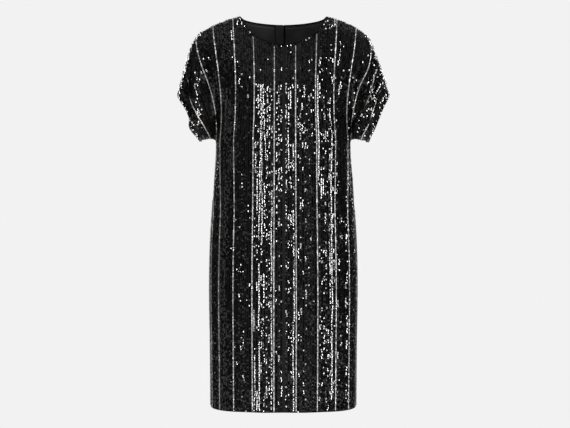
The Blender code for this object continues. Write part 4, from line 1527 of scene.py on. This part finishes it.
def makeEdgeSequins(kind, name, seed):
    draw = np.random.default_rng(seed)
    parts = []
    for face in ("front", "back"):
        for side in (-1, 1):
            centres, down, surface = edgeStations(face, side, kind)
            parts.append((centres, down, surface, edgeFacing(draw, face, side, kind, centres, surface)))
    centres, down, surface, facing = (np.concatenate(part) for part in zip(*parts))
    count, smoke = len(centres), edgeSequinValues["smokeShare"]
    level = np.zeros(count)
    return discMesh(
        name, centres, down, surface, facing, edgeSequinValues["radius"], sequinValues["cup"], level, level,
        draw.uniform(0.0, math.tau, count), np.full(count, edgeSequinValues["off"]),
        draw.choice(2, count, p=(1.0 - smoke, smoke)), ("black", "smoke"),
    )


sequins, stripes = [], []
for face in ("front", "back"):
    for side, name in sideNames.items():
        seed = 10 * (face == "back") + (side > 0)
        sequins.append(makeSequins(face, side, f"sequins_{face}_{name}", 100 + seed))
        stripes.append(makeStripes(face, side, f"stripes_{face}_{name}", 200 + seed))
edgeSequins = [
    makeEdgeSequins("neck", "sequins_neck_edge", 301),
    makeEdgeSequins("sleeve", "sequins_sleeve_edges", 302),
]
faces = {piece.name: len(piece.data.polygons) for piece in [*sequins, *stripes, *edgeSequins]}
print("sequins and stripes made, with faces", faces)

for node in ("zip_slider", "zip_pull_tab"):
    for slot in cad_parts[node].material_slots:
        slot.material = materials["lacquer"]
print("slider and pull tab lacquered")

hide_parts("front")
for side, name in sideNames.items():
    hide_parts("back_" + name)
    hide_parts("back_lining_" + name)
    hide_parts("zip_tape_" + name)
slots = {
    "sequin_cloth": [
        frontCloth, *backCloth.values(), *sequins, *stripes, *edgeSequins, *edges, *hemTurns.values(), thread,
    ],
    "lining": [*backLinings.values(), zipGuard],
    "zip_tape": [*zipTapes.values(), zipCoil],
}
for slot, pieces in slots.items():
    for piece in pieces:
        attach(piece, "dress")

pairs = [*backCloth.values(), *backLinings.values(), *zipTapes.values()]
for piece in [frontCloth, *pairs, zipGuard, *hemTurns.values()]:
    area = sum(p.area for p in piece.data.polygons) / 2
    print(piece.name, "cloth area", round(area, 4), [round(v, 3) for v in piece.dimensions])


studioValues = {
    "floorZ": -1.45,
    "floorRadius": 2.4,
    "background": "#f2f2f2",
    "panelScale": 4.0,
    "floor": "#c6c6c6",
    "floorRoughness": 0.9,
    "floorGlow": 0.5,
}

# The soft light all round: what each part of it follows, from and to where, and its strength there
skyRanges = {
    "depth": ("Y", 0.3, 0.9, 0.005, 0.08),  # dim in front and brighter behind
    "overhead": ("Z", 0.40, 0.75, 0.0, 0.60),
    "panels": ("Fac", 0.53, 0.58, 0.0, 0.11),
    "broken": ("Fac", 0.49, 0.53, 0.02, 1.0),  # the light overhead is broken up
}

# Place, height aimed at, size and watts
lights = {
    "key_strip": (lightPlaces["key"], -0.45, (0.32, 0.80), 42.0),
    "right_strip": (lightPlaces["right"], -0.45, (0.32, 0.80), 42.0),
    "left_softbox": ((-3.6, -0.6, 0.0), -0.40, (1.1, 2.4), 5.0),
    "back_strip": (lightPlaces["back"], -0.45, (0.5, 1.2), 34.0),
    "back_left_strip": (lightPlaces["backLeft"], -0.45, (0.4, 1.0), 22.0),
}


def addLight(name, place, aimZ, size, watts):
    bpy.ops.object.light_add(type="AREA", location=place)
    light = bpy.context.object
    light.name = name
    light.data.shape = "RECTANGLE"
    light.data.size, light.data.size_y = size
    light.data.energy = watts
    aim = Vector((0.0, 0.0, aimZ)) - Vector(place)
    light.rotation_euler = aim.to_track_quat("-Z", "Y").to_euler()


for name, values in lights.items():
    addLight(name, *values)
print("lights added")


def makeWorld():
    # lit softly all round, while the empty background shows as pale grey
    world = bpy.data.worlds.new("studio")
    scene.world = world
    world.use_nodes = True
    tree = world.node_tree
    tree.nodes.clear()
    path = addNode(tree, "ShaderNodeLightPath")
    place = addNode(tree, "ShaderNodeTexCoord")
    parts = addNode(tree, "ShaderNodeSeparateXYZ", links={"Vector": place.outputs["Generated"]})
    cloudy = addNode(
        tree, "ShaderNodeTexNoise", {"Scale": studioValues["panelScale"], "Detail": 1.0},
        {"Vector": place.outputs["Generated"]},
    )
    followed = {"Y": parts.outputs["Y"], "Z": parts.outputs["Z"], "Fac": cloudy.outputs["Fac"]}
    found = {}
    for name, (follows, start, end, low, high) in skyRanges.items():
        span = {"From Min": start, "From Max": end, "To Min": low, "To Max": high}
        ranged = addNode(tree, "ShaderNodeMapRange", span, {"Value": followed[follows]})
        found[name] = ranged.outputs["Result"]
    strength = found["overhead"]
    for part, operation in (("broken", "MULTIPLY"), ("panels", "ADD"), ("depth", "ADD")):
        joined = addNode(tree, "ShaderNodeMath", links={0: found[part], 1: strength}, operation=operation)
        strength = joined.outputs["Value"]
    white = {"Color": (1.0, 1.0, 1.0, 1.0)}
    soft = addNode(tree, "ShaderNodeBackground", white, {"Strength": strength})
    pale = {"Color": linear(studioValues["background"]), "Strength": 1.0}
    seen = addNode(tree, "ShaderNodeBackground", pale)
    mixed = addNode(
        tree, "ShaderNodeMixShader",
        links={0: path.outputs["Is Camera Ray"], 1: soft.outputs[0], 2: seen.outputs[0]},
    )
    addNode(tree, "ShaderNodeOutputWorld", links={"Surface": mixed.outputs[0]})


makeWorld()
scene.view_settings.view_transform = "Standard"


def addFloor():
    bpy.ops.object.select_all(action="DESELECT")
    place = (0.0, 0.0, studioValues["floorZ"])
    bpy.ops.mesh.primitive_circle_add(
        vertices=96, radius=studioValues["floorRadius"], fill_type="NGON", location=place
    )
    floor = bpy.context.object
    floor.name = "studio_floor"
    # matte paint, lit by itself a little so that it stays as pale as the background
    paint = newMaterial(
        "painted_floor",
        Base_Color=linear(studioValues["floor"]),
        Roughness=studioValues["floorRoughness"],
        Emission_Color=linear(studioValues["background"]),
        Emission_Strength=studioValues["floorGlow"],
    )[0]
    floor.data.materials.append(paint)


addFloor()
print("studio made")
